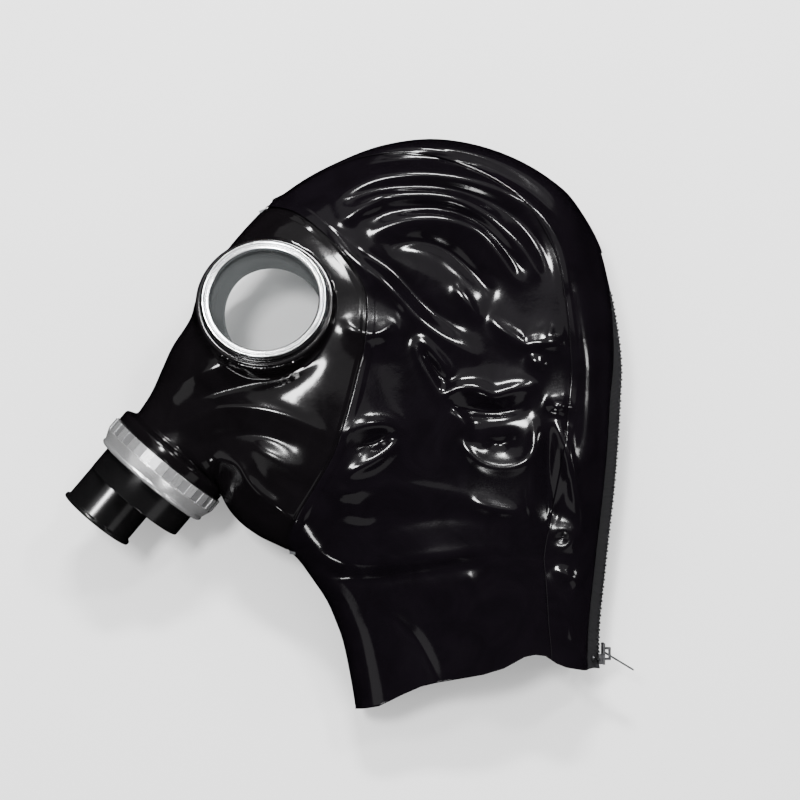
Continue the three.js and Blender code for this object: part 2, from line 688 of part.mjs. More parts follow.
function makeSlider() {
  const plate = box([slider_plate, slider_length, slider_width], [plate_out + slider_plate / 2, 0, 0]);
  const post_length = slider_length / 2 - clearance;
  const post = box([teeth_thickness + clearance * 2, post_length, teeth_width * slider_post_share],
    [slider_plate / 2, slider_length / 2 - post_length / 2, 0]);
  const bridge_height = bridge_opening + bridge_wall;
  const bridge = box([bridge_height + fuse_overlap, bridge_length, bridge_width],
    [plate_face + (bridge_height - fuse_overlap) / 2, 0, 0]);
  const opening = box([bridge_opening, bridge_length - 2 * bridge_wall, bridge_width * 2], [hinge_out, 0, 0]);
  const solid = toSolid(plate).add(toSolid(post)).add(toSolid(bridge).subtract(toSolid(opening)));
  return piece('zip_slider', toGeometry(solid).applyMatrix4(slider_matrix), zip_metal);
}

function makePull() {
  const bar = box([pull_arm, pull_arm, pull_width], [0, 0, 0]);
  const arm_x = bridge_width / 2 + clearance + (pull_width / 2 - bridge_width / 2 - clearance) / 2;
  const arm_width = pull_width / 2 - bridge_width / 2 - clearance;
  let solid = toSolid(bar);
  for (const side of [-1, 1]) {
    const arm = box([pull_eye + fuse_overlap, pull_thickness, arm_width],
      [(pull_eye + fuse_overlap) / 2, 0, side * arm_x]);
    solid = solid.add(toSolid(arm));
  }
  const tab_length = pull_length - pull_eye;
  const tab = box([tab_length, pull_thickness, pull_width], [pull_eye + tab_length / 2, 0, 0]);
  const turn = new THREE.Matrix4().makeRotationZ(-pull_rest_angle).setPosition(hinge_out, 0, 0);
  const geometry = toGeometry(solid.add(toSolid(tab))).applyMatrix4(turn).applyMatrix4(slider_matrix);
  return piece('zip_pull', geometry, zip_metal);
}

function makeEndStop() {
  const step = 0.01;
  const turn = -stop_share * turnFor(stop_at, tape_width);
  const foot = centrePoint(stop_at, turn);
  const over = centrePoint(stop_at, turn + step).sub(foot);
  const down = centrePoint(stop_at + step, turn).sub(foot);
  const normal = down.cross(over).normalize();
  const top = stop_height + clearance;
  const rows = [[0, clearance], [stop_radius, clearance], [stop_radius, stop_crown * top],
    [stop_radius * stop_crown, top], [0, top]];
  return piece('zip_end_stop', turned(rows, 12, foot, normal), zip_metal);
}

function makeEyeRing(name, side) {
  const base = lens_offset;
  const face = ring_face_offset;
  const pocket_radius = lens_radius + clearance;
  const pocket_top = base + lens_thickness + clearance;
  const groove_radius = (eye_ring_radius + eye_opening_radius) / 2;
  const ridge = face - ring_ridge_drop;
  const profile = [[pocket_radius, base], [eye_ring_radius, base], [eye_ring_radius, face - ring_chamfer],
    [eye_ring_radius - ring_chamfer, face], [groove_radius, face - ring_groove_depth],
    [groove_radius - ring_ridge_slope, ridge], [eye_opening_radius, ridge],
    [eye_opening_radius, pocket_top], [pocket_radius, pocket_top]];
  return piece(name, turned(profile, eye_segments, eye_origin, eyeAxis(side)), bright_aluminium);
}

function makeLens(name, side) {
  const profile = [[0, lens_offset], [lens_radius, lens_offset], [lens_radius, lens_offset + lens_thickness],
    [0, lens_offset + lens_thickness]];
  return piece(name, turned(profile, eye_segments, eye_origin, eyeAxis(side)), clear_glass);
}

function makeClampRing() {
  const bore = collar_radius + clearance;
  const lip_bore = collar_bore_radius;
  const rows = [[bore, 0], [clamp_ring_radius, 0], [clamp_ring_radius, knurl_length],
    [clamp_ring_radius - edge_chamfer, knurl_length + edge_chamfer],
    [clamp_front_radius + clamp_cone_step, clamp_ring_length - clamp_cone_step],
    [clamp_front_radius, clamp_ring_length], [lip_bore, clamp_ring_length],
    [lip_bore, clamp_ring_length - clamp_lip], [bore, clamp_ring_length - clamp_lip]];
  const geometry = turned(rows, knurl_segments, new THREE.Vector3(), new THREE.Vector3(0, 1, 0));
  const position = geometry.attributes.position;
  for (let k = 0; k < position.count; k += 1) {
    const radius = Math.hypot(position.getX(k), position.getZ(k));
    const angle = Math.atan2(position.getX(k), position.getZ(k));
    const segment = Math.round(angle * knurl_segments / (2 * Math.PI));
    if (radius > clamp_ring_radius - knurl_depth / 2 && segment % 2 !== 0) {
      const squeeze = 1 - knurl_depth / radius;
      position.setX(k, position.getX(k) * squeeze);
      position.setZ(k, position.getZ(k) * squeeze);
    }
  }
  const turn = new THREE.Quaternion().setFromUnitVectors(new THREE.Vector3(0, 1, 0), nozzle_axis);
  geometry.applyQuaternion(turn).translate(...nozzle_origin.toArray());
  return piece('clamp_ring', geometry, bright_aluminium);
}

const valve_radius = collar_bore_radius - clearance;
const valve_front = clamp_ring_length + valve_length;
const stub_offset = valve_radius - stub_radius;

function makeValveBody() {
  const bore = valve_radius - valve_wall;
  const profile = [[0, valve_front - valve_wall], [bore, valve_front - valve_wall], [bore, clearance],
    [valve_radius, clearance], [valve_radius, valve_front - edge_chamfer],
    [valve_radius - edge_chamfer, valve_front], [0, valve_front]];
  const body = toSolid(turned(profile, nozzle_segments, nozzle_origin, nozzle_axis));
  const stub_origin = nozzle_origin.clone().addScaledVector(nozzle_side, stub_offset);
  const hole_end = valve_front + clearance;
  const hole = turned([[0, clearance], [stub_bore_radius, clearance], [stub_bore_radius, hole_end],
    [0, hole_end]], nozzle_segments, stub_origin, nozzle_axis);
  return piece('valve_body', toGeometry(body.subtract(toSolid(hole))), black_plastic);
}

function makeIntakeStub() {
  const root = valve_front + clearance;
  const end = valve_front + stub_length;
  const flange = end - stub_flange_length;
  const rows = [[stub_bore_radius, root], [stub_radius, root], [stub_radius, flange - edge_chamfer],
    [stub_flange_radius, flange], [stub_flange_radius, end], [stub_bore_radius, end]];
  const stub_origin = nozzle_origin.clone().addScaledVector(nozzle_side, stub_offset);
  return piece('intake_stub', turned(rows, nozzle_segments, stub_origin, nozzle_axis), black_plastic);
}

const mask = new THREE.Group();
mask.add(makeFacePiece());
mask.add(makeSidePanel('side_panel_left', true, upper_columns));
mask.add(makeSidePanel('side_panel_right', false, lower_columns));
mask.add(makeCentrePanel());
mask.add(makeTape('zip_tape_left', 1));
mask.add(makeTape('zip_tape_right', -1));
mask.add(makeTeeth());
mask.add(makeSlider());
mask.add(makePull());
mask.add(makeEndStop());
for (const [name, side] of Object.entries(eye_sides)) {
  mask.add(makeEyeRing(`eye_ring_${name}`, side));
  mask.add(makeLens(`lens_${name}`, side));
}
mask.add(makeClampRing());
mask.add(makeValveBody());
mask.add(makeIntakeStub());

// The origin is the middle of the underside
const extent = new THREE.Box3().setFromObject(mask);
const middle = extent.getCenter(new THREE.Vector3());
mask.position.set(-middle.x, -middle.y, -extent.min.z);

export default mask;
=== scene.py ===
"""A glossy latex costume hood with a moulded gas mask face, lying on its right side."""
import json
import math

import bpy
import numpy as np
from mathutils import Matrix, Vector


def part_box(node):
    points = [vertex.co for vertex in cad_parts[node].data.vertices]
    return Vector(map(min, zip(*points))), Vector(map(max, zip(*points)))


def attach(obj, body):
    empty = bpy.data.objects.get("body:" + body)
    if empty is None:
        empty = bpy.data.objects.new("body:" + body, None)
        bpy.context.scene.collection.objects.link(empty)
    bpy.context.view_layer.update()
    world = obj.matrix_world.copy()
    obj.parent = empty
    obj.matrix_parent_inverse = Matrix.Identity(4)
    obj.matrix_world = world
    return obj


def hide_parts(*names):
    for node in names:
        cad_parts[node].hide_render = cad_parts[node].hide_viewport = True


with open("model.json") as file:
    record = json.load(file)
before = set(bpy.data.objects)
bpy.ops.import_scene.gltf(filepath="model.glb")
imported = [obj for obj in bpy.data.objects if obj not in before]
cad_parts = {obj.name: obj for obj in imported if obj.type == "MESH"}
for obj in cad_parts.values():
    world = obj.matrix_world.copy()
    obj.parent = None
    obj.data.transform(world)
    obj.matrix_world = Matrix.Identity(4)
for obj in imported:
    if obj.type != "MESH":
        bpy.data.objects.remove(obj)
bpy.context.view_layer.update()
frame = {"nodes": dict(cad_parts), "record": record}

# Camera: it looks down on the lying hood, tipped a little from straight above, as one photographs
# a garment laid out on a white table.
camera_distance = 0.9
camera_tip = math.radians(4)
camera_aim = Vector((0.0284, 0.0132, 0.042))
camera_span = 0.456


def add_object(name, data):
    made = bpy.data.objects.new(name, data)
    bpy.context.scene.collection.objects.link(made)
    return made


camera_data = bpy.data.cameras.new("camera")
camera_data.lens = camera_data.sensor_width * camera_distance / camera_span
camera = add_object("camera", camera_data)
camera_line = Vector((0, -math.sin(camera_tip), math.cos(camera_tip)))
camera.location = camera_aim + camera_distance * camera_line
camera.rotation_euler = (camera_tip, 0, 0)
bpy.context.scene.camera = camera

# Left side panel: the sheet latex over the side of the head that lies uppermost. It is cut flat,
# glued to the face and to the centre strip with lap seams, and has sunk into folds.
mm = 0.001
hood_depth = 238.3
hood_height = 325.8
lying_height = 84.0
side_share = 0.785
fan_skew = 0.21
level_reach = 42.0
table_ease = 2.0
hem_reach = 0.82
ridge_fade = (0.0, 0.15)
valley_fade = (0.08, 0.5)
zip_zone = (0.85, 0.86)
zip_blend = 1.1
sheet_wall = 0.5
fan_start = 0.008
lap_width = 4.5
lap_step = 0.3
lap_fade = (0.92, 1.25)
lap_lift = sheet_wall + lap_step
tuck_width = 3.0
tuck_slope = 4
tuck_rise = 0.1
neck_turn = 0.97
neck_edge = 6

# Plan lines of the hood as shares of its depth and height
back_line = [
    (0.139, 0.873), (0.172, 0.890), (0.239, 0.925), (0.326, 0.960), (0.423, 0.987), (0.541, 0.999),
    (0.653, 0.988), (0.756, 0.960), (0.833, 0.925), (0.885, 0.890), (0.943, 0.820), (0.976, 0.733),
    (1.000, 0.610), (0.997, 0.541), (0.983, 0.401), (0.959, 0.243), (0.945, 0.147), (0.943, 0.077),
]
seam_line = [
    (0.139, 0.873), (0.177, 0.868), (0.230, 0.852), (0.282, 0.822), (0.337, 0.782), (0.373, 0.742),
    (0.388, 0.716), (0.391, 0.681), (0.385, 0.621), (0.371, 0.579), (0.356, 0.535), (0.340, 0.493),
    (0.316, 0.441), (0.278, 0.392), (0.236, 0.343), (0.210, 0.305), (0.204, 0.278),
]
neck_line = [
    (0.204, 0.278), (0.227, 0.261), (0.261, 0.226), (0.292, 0.191), (0.313, 0.156), (0.330, 0.121),
    (0.350, 0.051), (0.361, 0.002),
]
nose_line = [
    (-0.125, 0.551), (-0.098, 0.593), (-0.073, 0.632), (-0.035, 0.675), (-0.001, 0.731), (0.043, 0.789),
    (0.093, 0.836), (0.139, 0.873),
]
chin_line = [
    (0.055, 0.358), (0.086, 0.329), (0.134, 0.303), (0.182, 0.286), (0.204, 0.278),
]
hem_wave = [
    (0, 0), (0.1, 0.007), (0.186, 0.037), (0.268, 0.06), (0.35, 0.066), (0.515, 0.069), (0.597, 0.08),
    (0.679, 0.11), (0.72, 0.111), (0.76, 0.1), (0.803, 0.064), (0.844, 0.04), (0.926, 0.009), (1, 0),
]

# Heights at places on the hood: shares of depth and height, then shares of the lying height for the
# edge's mid line, the upper sheet, the lower sheet and the radius of the rounded edge
levels = [
    (-0.07, 0.45, 0.524, 0.88, 0.17, 0.36), (-0.02, 0.59, 0.56, 0.95, 0.15, 0.38),
    (0.158, 0.7, 0.607, 1.0, 0.17, 0.4), (0.17, 0.84, 0.54, 0.86, 0.08, 0.38),
    (0.2, 0.5, 0.56, 1.0, 0.04, 0.42), (0.2, 0.33, 0.52, 0.92, 0.02, 0.38),
    (0.4, 0.85, 0.5, 0.93, -0.03, 0.4), (0.6, 0.85, 0.5, 0.93, -0.03, 0.4),
    (0.85, 0.75, 0.5, 0.92, -0.03, 0.4), (0.6, 0.6, 0.5, 0.88, -0.03, 0.4),
    (0.87, 0.5, 0.5, 0.88, -0.03, 0.36), (0.6, 0.35, 0.46, 0.82, -0.03, 0.36),
    (0.36, 0.2, 0.38, 0.68, -0.03, 0.3), (0.87, 0.25, 0.45, 0.78, -0.03, 0.32),
    (0.4, 0.03, 0.3, 0.54, -0.03, 0.28), (0.65, 0.08, 0.42, 0.74, -0.03, 0.3),
    (0.9, 0.08, 0.42, 0.72, -0.03, 0.32),
]

# Folds of the upper side: name, rise and path, in millimetres from the hood's front lower corner. A
# stretched sheet is held up along a ridge, and held down along a valley, where the rise is negative.
crown_rolls = [
    ("rim_roll", 5.0, [(50, 290), (60, 299), (72, 306), (85, 311), (104, 315), (124, 315.7), (147, 314),
        (165, 308.5), (186, 298.5), (197, 289.5), (206, 279), (214, 266)]),
    ("rim_valley", -2.5, [(64, 290), (80, 300), (96, 306), (112, 308), (130, 308), (150, 305),
        (168, 298), (186, 287), (199, 272)]),
    ("first_roll", 3.5, [(73, 281), (88, 292), (98, 296), (114, 298), (130, 297.5), (145, 295.5),
        (159, 292), (171, 288), (184, 281), (196, 267), (203, 249), (205, 232)]),
    ("first_valley", -3.0, [(82, 285), (98, 290), (114, 292), (130, 292), (146, 289), (162, 283),
        (177, 273), (189, 257), (195, 240)]),
    ("second_roll", 4.0, [(72, 277), (80, 279), (93, 283), (105, 285.5), (119, 286.5), (133, 286),
        (144, 283.5), (156, 277), (168, 267), (179, 256), (189, 240)]),
    ("second_pinch", 3.6, [(74, 273), (82, 274), (92, 278.5), (103, 283)]),
    ("second_valley", -3.5, [(90, 274), (104, 278), (118, 280), (132, 280), (146, 276), (158, 268),
        (169, 256), (178, 244)]),
    ("third_roll", 3.5, [(94, 265), (106, 270), (116, 273), (128, 274), (141, 272.5), (156, 267),
        (168, 253), (177, 236)]),
    ("bowl", -6.0, [(104, 258), (120, 262), (136, 258), (150, 246), (163, 230)]),
    ("shelf", 4.5, [(72, 277), (74, 268), (79, 259), (87, 251), (100, 241), (110, 231), (121, 219),
        (134, 209), (147, 201), (156, 196)]),
    ("shelf_valley", -3.0, [(92, 255), (107, 245), (119, 232), (131, 221), (146, 211)]),
    ("temple_crest", 5.5, [(81, 219), (85, 213), (91, 209.5), (97, 208.5), (103, 211), (109, 217)]),
    ("temple_hold", 0.3, [(74, 234), (84, 232.5), (93, 230), (103, 227), (111, 223)]),
    ("chin_roll", 1.5, [(70, 121), (90, 125), (112, 126), (140, 122), (165, 116)]),
    ("chin_valley", -1.5, [(62, 108), (82, 105), (105, 106), (140, 110), (168, 106)]),
    ("neck_roll", 2.0, [(57, 99), (62, 93), (70, 88.5), (81, 85), (100, 84), (130, 88), (173, 93)]),
    ("neck_valley", -2.5, [(60, 84), (72, 78), (90, 75), (126, 79), (160, 84)]),
    ("neck_dip", -3.0, [(95, 60), (115, 48), (128, 28), (134, 12)]),
    ("hem_swell", 3.0, [(150, 78), (160, 58), (162, 30)]),
]
creases = [
    ("short_ridge", 3.0, [(141, 238), (148, 228), (155, 216)]),
    ("u_fold", 4.0, [(160, 221), (165, 215), (171, 210), (183, 204), (190, 208), (196, 217)]),
    ("pinch_ridge", 5.0, [(180, 207), (187, 205), (195, 204.5), (202, 205)]),
    ("pinch_fold", 4.5, [(181, 198), (187, 194), (194, 192)]),
    ("pinch_facet", 7.0, [(192, 172), (196, 170.5), (200, 170), (204, 172)]),
    ("pinch_top", 0.5, [(192, 193), (196, 192), (201, 191)]),
    ("crease_left", 3.5, [(118, 207), (123.5, 196), (129, 185), (135, 173), (139, 169)]),
    ("crease_right", 3.5, [(118, 207.5), (124.5, 205.5), (131.5, 197), (140.5, 186.5)]),
    ("crease_dip", -2.5, [(124, 199), (130, 191), (137, 182)]),
    ("wavy_crest", 6.0, [(130, 172), (134, 175), (141, 179.5), (154, 180), (163, 176), (171, 178.5),
        (181, 181), (188, 180)]),
    ("hollow", -6.0, [(140, 170), (155, 168), (170, 168), (183, 171)]),
    ("loop", 2.5, [(136, 173), (142, 167), (147, 160), (149, 150)]),
    ("pocket_rim", 5.5, [(146, 154), (149, 146), (156, 139.5), (167, 136.5), (177, 138), (184, 144),
        (185.5, 153), (184, 163)]),
    ("pocket_floor", -4.5, [(158, 152), (167, 150), (176, 154)]),
    ("pocket_slope", 3.5, [(150, 118), (164, 114), (180, 112)]),
    ("upright_ridge", 4.0, [(184, 160), (184, 137), (183, 119), (187, 103), (188, 90)]),
    ("upright_valley", -5.0, [(193, 158), (193, 140), (194, 122), (195, 108)]),
    ("back_ridge", 6.5, [(195, 165), (201, 152), (205, 136), (208, 121), (211, 110), (210, 94)]),
    ("dent_rim", 4.0, [(196.5, 97), (198, 102), (202.5, 103), (206, 99), (203.5, 94), (198.5, 93.5),
        (196.5, 97)]),
    ("dent_floor", -3.0, [(200, 98.5), (201, 98.2), (202, 98)]),
    ("back_pleat", 3.0, [(196, 82), (204, 77), (213, 72)]),
    ("back_gather", 3.0, [(192, 79), (197, 70), (200, 64), (202, 56), (205, 42)]),
    ("leaf_top", 4.0, [(78, 152), (86, 157.5), (96, 160), (108, 159.5), (115, 155)]),
    ("leaf_dent", -4.5, [(88, 147), (97, 150), (106, 154)]),
    ("leaf_low", 4.5, [(80, 131), (87, 135), (98, 141), (112, 152)]),
    ("jaw_tuck", 2.0, [(76, 122), (84, 123), (90, 120)]),
    ("jaw_fold", 1.5, [(80, 114), (88, 110), (97, 107)]),
    ("nape_ridge", 5.0, [(219, 266), (225, 253), (227, 232), (228, 198), (226.3, 154), (222.4, 109),
        (218, 64), (214, 36), (213, 16)]),
    ("cheek_roll", 3.0, [(-20, 154), (-10, 160.5), (1, 166), (15, 169.5), (36, 168), (56, 162),
        (76, 151)]),
    ("chin_crease", 4.0, [(6, 140), (14, 141), (22, 138.5), (29, 129), (36, 122), (44, 116),
        (54, 106)]),
]
face_forms = [
    ("brow_ridge", 2.0, [(34, 263), (43, 272), (56, 281)]),
    ("nose_bridge", 4.5, [(-22, 178), (-15, 190), (-7, 200), (2, 208)]),
    ("nose_ridge", 3.0, [(-24, 171), (-8, 182), (6, 189), (22, 193)]),
    ("nose_flute", -4.0, [(-20, 164), (0, 174), (24, 181), (50, 187), (70, 198)]),
    ("cheek_hollow", -4.0, [(-10, 146), (4, 151), (22, 155), (40, 153), (54, 147)]),
    ("jaw_pad", 4.0, [(32, 148), (42, 143), (50, 138), (62, 134)]),
    ("chin_hollow", -3.0, [(12, 132), (20, 124), (30, 112), (40, 104)]),
    ("chin_side", -3.0, [(30, 138), (36, 128), (46, 118)]),
]
raster_cell = 1.0
raster_low = np.array([-50.0, -20.0])
raster_shape = (310, 370)
fold_grip = 3.0
fold_grip_width = 0.8
fold_points = 240
settling_rounds = 420

# The frame gives the hood's corner: the eye stands at these shares, and the hem's tip at the last row
eye_at = (0.158, 0.7)
eye_low, eye_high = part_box("eye_ring_left")
hem_low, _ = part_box("side_panel_left")
corner = np.array([
    (eye_low.x + eye_high.x) / 2 / mm - eye_at[0] * hood_depth,
    hem_low.y / mm - neck_line[-1][1] * hood_height,
    0.0,
])


def ease(value, low, high):
    t = np.clip((value - low) / (high - low), 0, 1)
    return t * t * (3 - 2 * t)


def mix(a, b, share):
    return a + (b - a) * share


def spread_evenly(line, values, count):
    """The values along a line, taken at evenly spaced places on it."""
    length = np.concatenate([[0], np.cumsum(np.linalg.norm(np.diff(line, axis=0), axis=1))])
    even = np.linspace(0, length[-1], count)
    return np.stack([np.interp(even, length, values[:, k]) for k in range(values.shape[1])], axis=1)


def smooth_line(points, count=600):
    """Points spaced evenly along a smooth curve through the given plan points."""
    p = np.array(points, float)
    p = np.vstack([2 * p[0] - p[1], p, 2 * p[-1] - p[-2]])
    spots = []
    for a, b, c, d in zip(p, p[1:], p[2:], p[3:]):
        knots = np.cumsum([0, *(np.linalg.norm(q - r) ** 0.5 for q, r in ((b, a), (c, b), (d, c)))])
        t = np.linspace(knots[1], knots[2], 40, endpoint=False)[:, None]
        k0, k1, k2, k3 = knots
        ab = a * (k1 - t) / (k1 - k0) + b * (t - k0) / (k1 - k0)
        bc = b * (k2 - t) / (k2 - k1) + c * (t - k1) / (k2 - k1)
        cd = c * (k3 - t) / (k3 - k2) + d * (t - k2) / (k3 - k2)
        abc = ab * (k2 - t) / (k2 - k0) + bc * (t - k0) / (k2 - k0)
        bcd = bc * (k3 - t) / (k3 - k1) + cd * (t - k1) / (k3 - k1)
        spots.append(abc * (k2 - t) / (k2 - k1) + bcd * (t - k1) / (k2 - k1))
    line = np.vstack([*spots, p[-2]])
    return spread_evenly(line, line, count)


def along_line(line, share):
    spot = np.clip(share, 0, 1) * (len(line) - 1)
    step = np.arange(len(line))
    return np.stack([np.interp(spot, step, line[:, k]) for k in range(line.shape[1])], axis=-1)


def place(shares):
    return np.array(shares, float) * (hood_depth, hood_height) + corner[:2]


def lifted(plan, height):
    """Plan points with their heights."""
    return np.concatenate([plan, height[..., None]], axis=-1)


def line_length(line):
    return np.linalg.norm(np.diff(line, axis=0), axis=1).sum()


def distance_to(lines, x, y):
    """Plan distance from each point to the nearest of several polylines."""
    starts = np.vstack([line[:-1] for line in lines])
    steps = np.vstack([np.diff(line, axis=0) for line in lines])
    squares = np.maximum((steps ** 2).sum(1), 1e-12)
    spots = np.stack([x.ravel(), y.ravel()], axis=1)
    best = np.empty(len(spots))
    chunk = 4000
    for first in range(0, len(spots), chunk):
        away = spots[first:first + chunk, None, :] - starts[None]
        t = np.clip((away * steps).sum(2) / squares, 0, 1)
        away -= t[..., None] * steps
        best[first:first + chunk] = np.sqrt((away ** 2).sum(2).min(1))
    return best.reshape(x.shape)


def press_folds(rows, reach, rounding):
    """Raster of the heights that a stretched sheet takes when it is held along each row's path."""
    hold = np.zeros(raster_shape)
    held = np.zeros(raster_shape)
    for _, rise, path in rows:
        line = smooth_line(path, fold_points)
        taper = np.sin(np.pi * np.linspace(0, 1, len(line))) ** 0.6
        low = np.floor((line.min(0) - raster_low) / raster_cell).astype(int) - 3
        high = np.ceil((line.max(0) - raster_low) / raster_cell).astype(int) + 4
        low = np.maximum(low, 0)
        high = np.minimum(high, raster_shape)
        u, v = np.meshgrid(np.arange(low[0], high[0]), np.arange(low[1], high[1]), indexing="ij")
        spots = np.stack([u, v], axis=-1).reshape(-1, 1, 2) * raster_cell + raster_low
        away = np.sqrt(((spots - line) ** 2).sum(2))
        nearest = away.argmin(1)
        weight = fold_grip * np.exp(-(away.min(1) / fold_grip_width) ** 2)
        patch = (slice(low[0], high[0]), slice(low[1], high[1]))
        hold[patch] += weight.reshape(u.shape)
        held[patch] += (weight * rise * taper[nearest]).reshape(u.shape)
    leak = 4 + (raster_cell / reach) ** 2 * 4
    field = np.zeros(raster_shape)
    for _ in range(settling_rounds):
        around = np.pad(field, 1, mode="edge")
        around = around[:-2, 1:-1] + around[2:, 1:-1] + around[1:-1, :-2] + around[1:-1, 2:]
        field = (around + held) / (leak + hold)
    return soften(field, rounding / raster_cell)


def soften(field, radius):
    """A raster blurred by a bell of that many cells."""
    span = int(math.ceil(radius * 3))
    bell = np.exp(-0.5 * (np.arange(-span, span + 1) / radius) ** 2)
    bell /= bell.sum()
    for axis in (0, 1):
        padded = np.pad(field, [(span, span) if k == axis else (0, 0) for k in (0, 1)], mode="edge")
        cells = np.arange(field.shape[axis])
        field = sum(w * np.take(padded, cells + k, axis=axis) for k, w in enumerate(bell))
    return field


def sample(field, x, y):
    """Smooth values of a raster between its cells."""
    u = (x - corner[0] - raster_low[0]) / raster_cell
    v = (y - corner[1] - raster_low[1]) / raster_cell
    i = np.clip(np.floor(u).astype(int), 1, raster_shape[0] - 3)
    j = np.clip(np.floor(v).astype(int), 1, raster_shape[1] - 3)
    total = 0

    def weights(t):
        return (-0.5 * t + t ** 2 - 0.5 * t ** 3, 1 - 2.5 * t ** 2 + 1.5 * t ** 3,
                0.5 * t + 2 * t ** 2 - 1.5 * t ** 3, -0.5 * t ** 2 + 0.5 * t ** 3)

    across, up = weights(np.clip(u - i, 0, 1)), weights(np.clip(v - j, 0, 1))
    for a in range(4):
        for b in range(4):
            total = total + across[a] * up[b] * field[i + a - 1, j + b - 1]
    return total


throat_radius = 30.0
throat_setback = 8.0
intake = next(m for m in frame["record"]["mounts"] if m["name"] == "intake_end")
nozzle_axis = np.array([*intake["axis"][:2], 0.0])
nozzle_axis /= np.linalg.norm(nozzle_axis)
nozzle_side = np.array([nozzle_axis[1], -nozzle_axis[0], 0.0])
nozzle_height = 44.0
nozzle_at = (-0.083, 0.436)
nozzle_origin = np.array([*place(nozzle_at), nozzle_height])
throat = nozzle_origin - throat_setback * nozzle_axis
throat_nose = throat + throat_radius * nozzle_side
throat_chin = throat - throat_radius * nozzle_side

back = smooth_line(place(back_line))
seam = smooth_line(place(seam_line))
neck = smooth_line(place(neck_line))
nose = smooth_line([throat_nose[:2], *place(nose_line)])
chin = smooth_line([throat_chin[:2], *place(chin_line)])
seam_share = line_length(seam) / (line_length(seam) + line_length(neck))
closed_edges = [line[::3] for line in (back, neck, nose, chin)]

folds = (press_folds(crown_rolls, reach=11.0, rounding=1.6)
         + press_folds(creases, reach=8.0, rounding=1.2)
         + press_folds(face_forms, reach=10.0, rounding=2.2))


def surface_height(x, y, upper):
    """Height of the pillow-like hood over plan points, on its upper or its lower side."""
    spots = place([row[:2] for row in levels])
    away = (x[..., None] - spots[:, 0]) ** 2 + (y[..., None] - spots[:, 1]) ** 2
    weight = np.exp(-away / level_reach ** 2)
    weight /= weight.sum(-1, keepdims=True)
    mid, top, floor, rounding = (
        weight @ (np.array([row[k] for row in levels]) * lying_height) for k in (2, 3, 4, 5))
    share = np.minimum(distance_to(closed_edges, x, y) / rounding, 1)
    round_edge = np.sqrt(np.maximum(0, 1 - (1 - share) ** 2))
    wedge_edge = np.sin(share * np.pi / 2)
    zip_x, zip_y = place(zip_zone)
    zip_x_end, zip_y_end = place((zip_zone[0] * zip_blend, zip_zone[1] * zip_blend))
    sharp = ease(x, zip_x, zip_x_end) * (1 - ease(y, zip_y, zip_y_end))
    bulge = mix(round_edge, wedge_edge, sharp)
    if upper:
        fold = sample(folds, x, y)
        fade = np.where(fold > 0, ease(share, *ridge_fade), ease(share, *valley_fade))
        return mid + (top - mid) * bulge + fold * fade
    height = mid - (mid - floor) * bulge
    eased = np.maximum(0, height + table_ease) ** 2 / (4 * table_ease)
    return np.where(height > table_ease, height, eased)


def front_point(along):
    along = np.asarray(along, float)
    on_seam = along_line(seam, along / seam_share)
    on_neck = along_line(neck, (along - seam_share) / (1 - seam_share))
    return np.where((along < seam_share)[..., None], on_seam, on_neck)


def back_point(along):
    along = np.asarray(along, float)
    return along_line(back, np.minimum(1, along + fan_skew * np.sin(np.pi * along)))


def hood_width(along):
    return np.linalg.norm(front_point(along) - back_point(along), axis=-1)


def hood_plan(along, across):
    """Plan points of the hood's fan: from brow to hem along, from its front to its back line across."""
    stops, lifts = zip(*hem_wave)
    lift = np.interp(across, stops, lifts) * hood_width(along) * ease(along, hem_reach, 1)
    plan = mix(front_point(along), back_point(along), np.asarray(across)[..., None])
    plan[..., 1] += lift
    return plan


def outward(grid, ring=False):
    """Unit directions out of a grid of surface points."""
    over = np.roll(grid, -1, 1) - np.roll(grid, 1, 1) if ring else np.gradient(grid, axis=1)
    normal = np.cross(np.gradient(grid, axis=0), over)
    return normal / np.maximum(np.linalg.norm(normal, axis=2, keepdims=True), 1e-9)


def raise_sheet(grid, raised, ring=False):
    """The grid moved out by a distance at each point, and kept above the table."""
    raised = np.broadcast_to(raised, grid.shape[:2])
    made = grid + outward(grid, ring) * raised[..., None]
    made[..., 2] = np.maximum(made[..., 2], lap_lift - raised)
    return made


def shell(grid, wall, ring=False, present=None):
    """Points and faces of a wall of even thickness from a grid of its outer points."""
    rows, columns = grid.shape[:2]
    inner = raise_sheet(grid, -wall, ring)
    index = np.arange(rows * columns).reshape(rows, columns)
    if ring:
        index = np.concatenate([index, index[:, :1]], axis=1)
    a, b, c, d = index[:-1, :-1], index[1:, :-1], index[1:, 1:], index[:-1, 1:]
    solid = np.ones(a.shape, bool) if present is None else present
    shift = rows * columns
    faces = [np.stack([a, b, c, d], -1)[solid], np.stack([d, c, b, a], -1)[solid] + shift]
    bordered = np.pad(solid, 1)
    if ring:
        bordered[1:-1, 0], bordered[1:-1, -1] = solid[:, -1], solid[:, 0]
    open_sides = [
        (solid & ~bordered[1:-1, :-2], a, b), (solid & ~bordered[2:, 1:-1], b, c),
        (solid & ~bordered[1:-1, 2:], c, d), (solid & ~bordered[:-2, 1:-1], d, a),
    ]
    for gone, start, end in open_sides:
        faces.append(np.stack([end, start, start + shift, end + shift], -1)[gone])
    return np.vstack([grid.reshape(-1, 3), inner.reshape(-1, 3)]), np.vstack(faces)


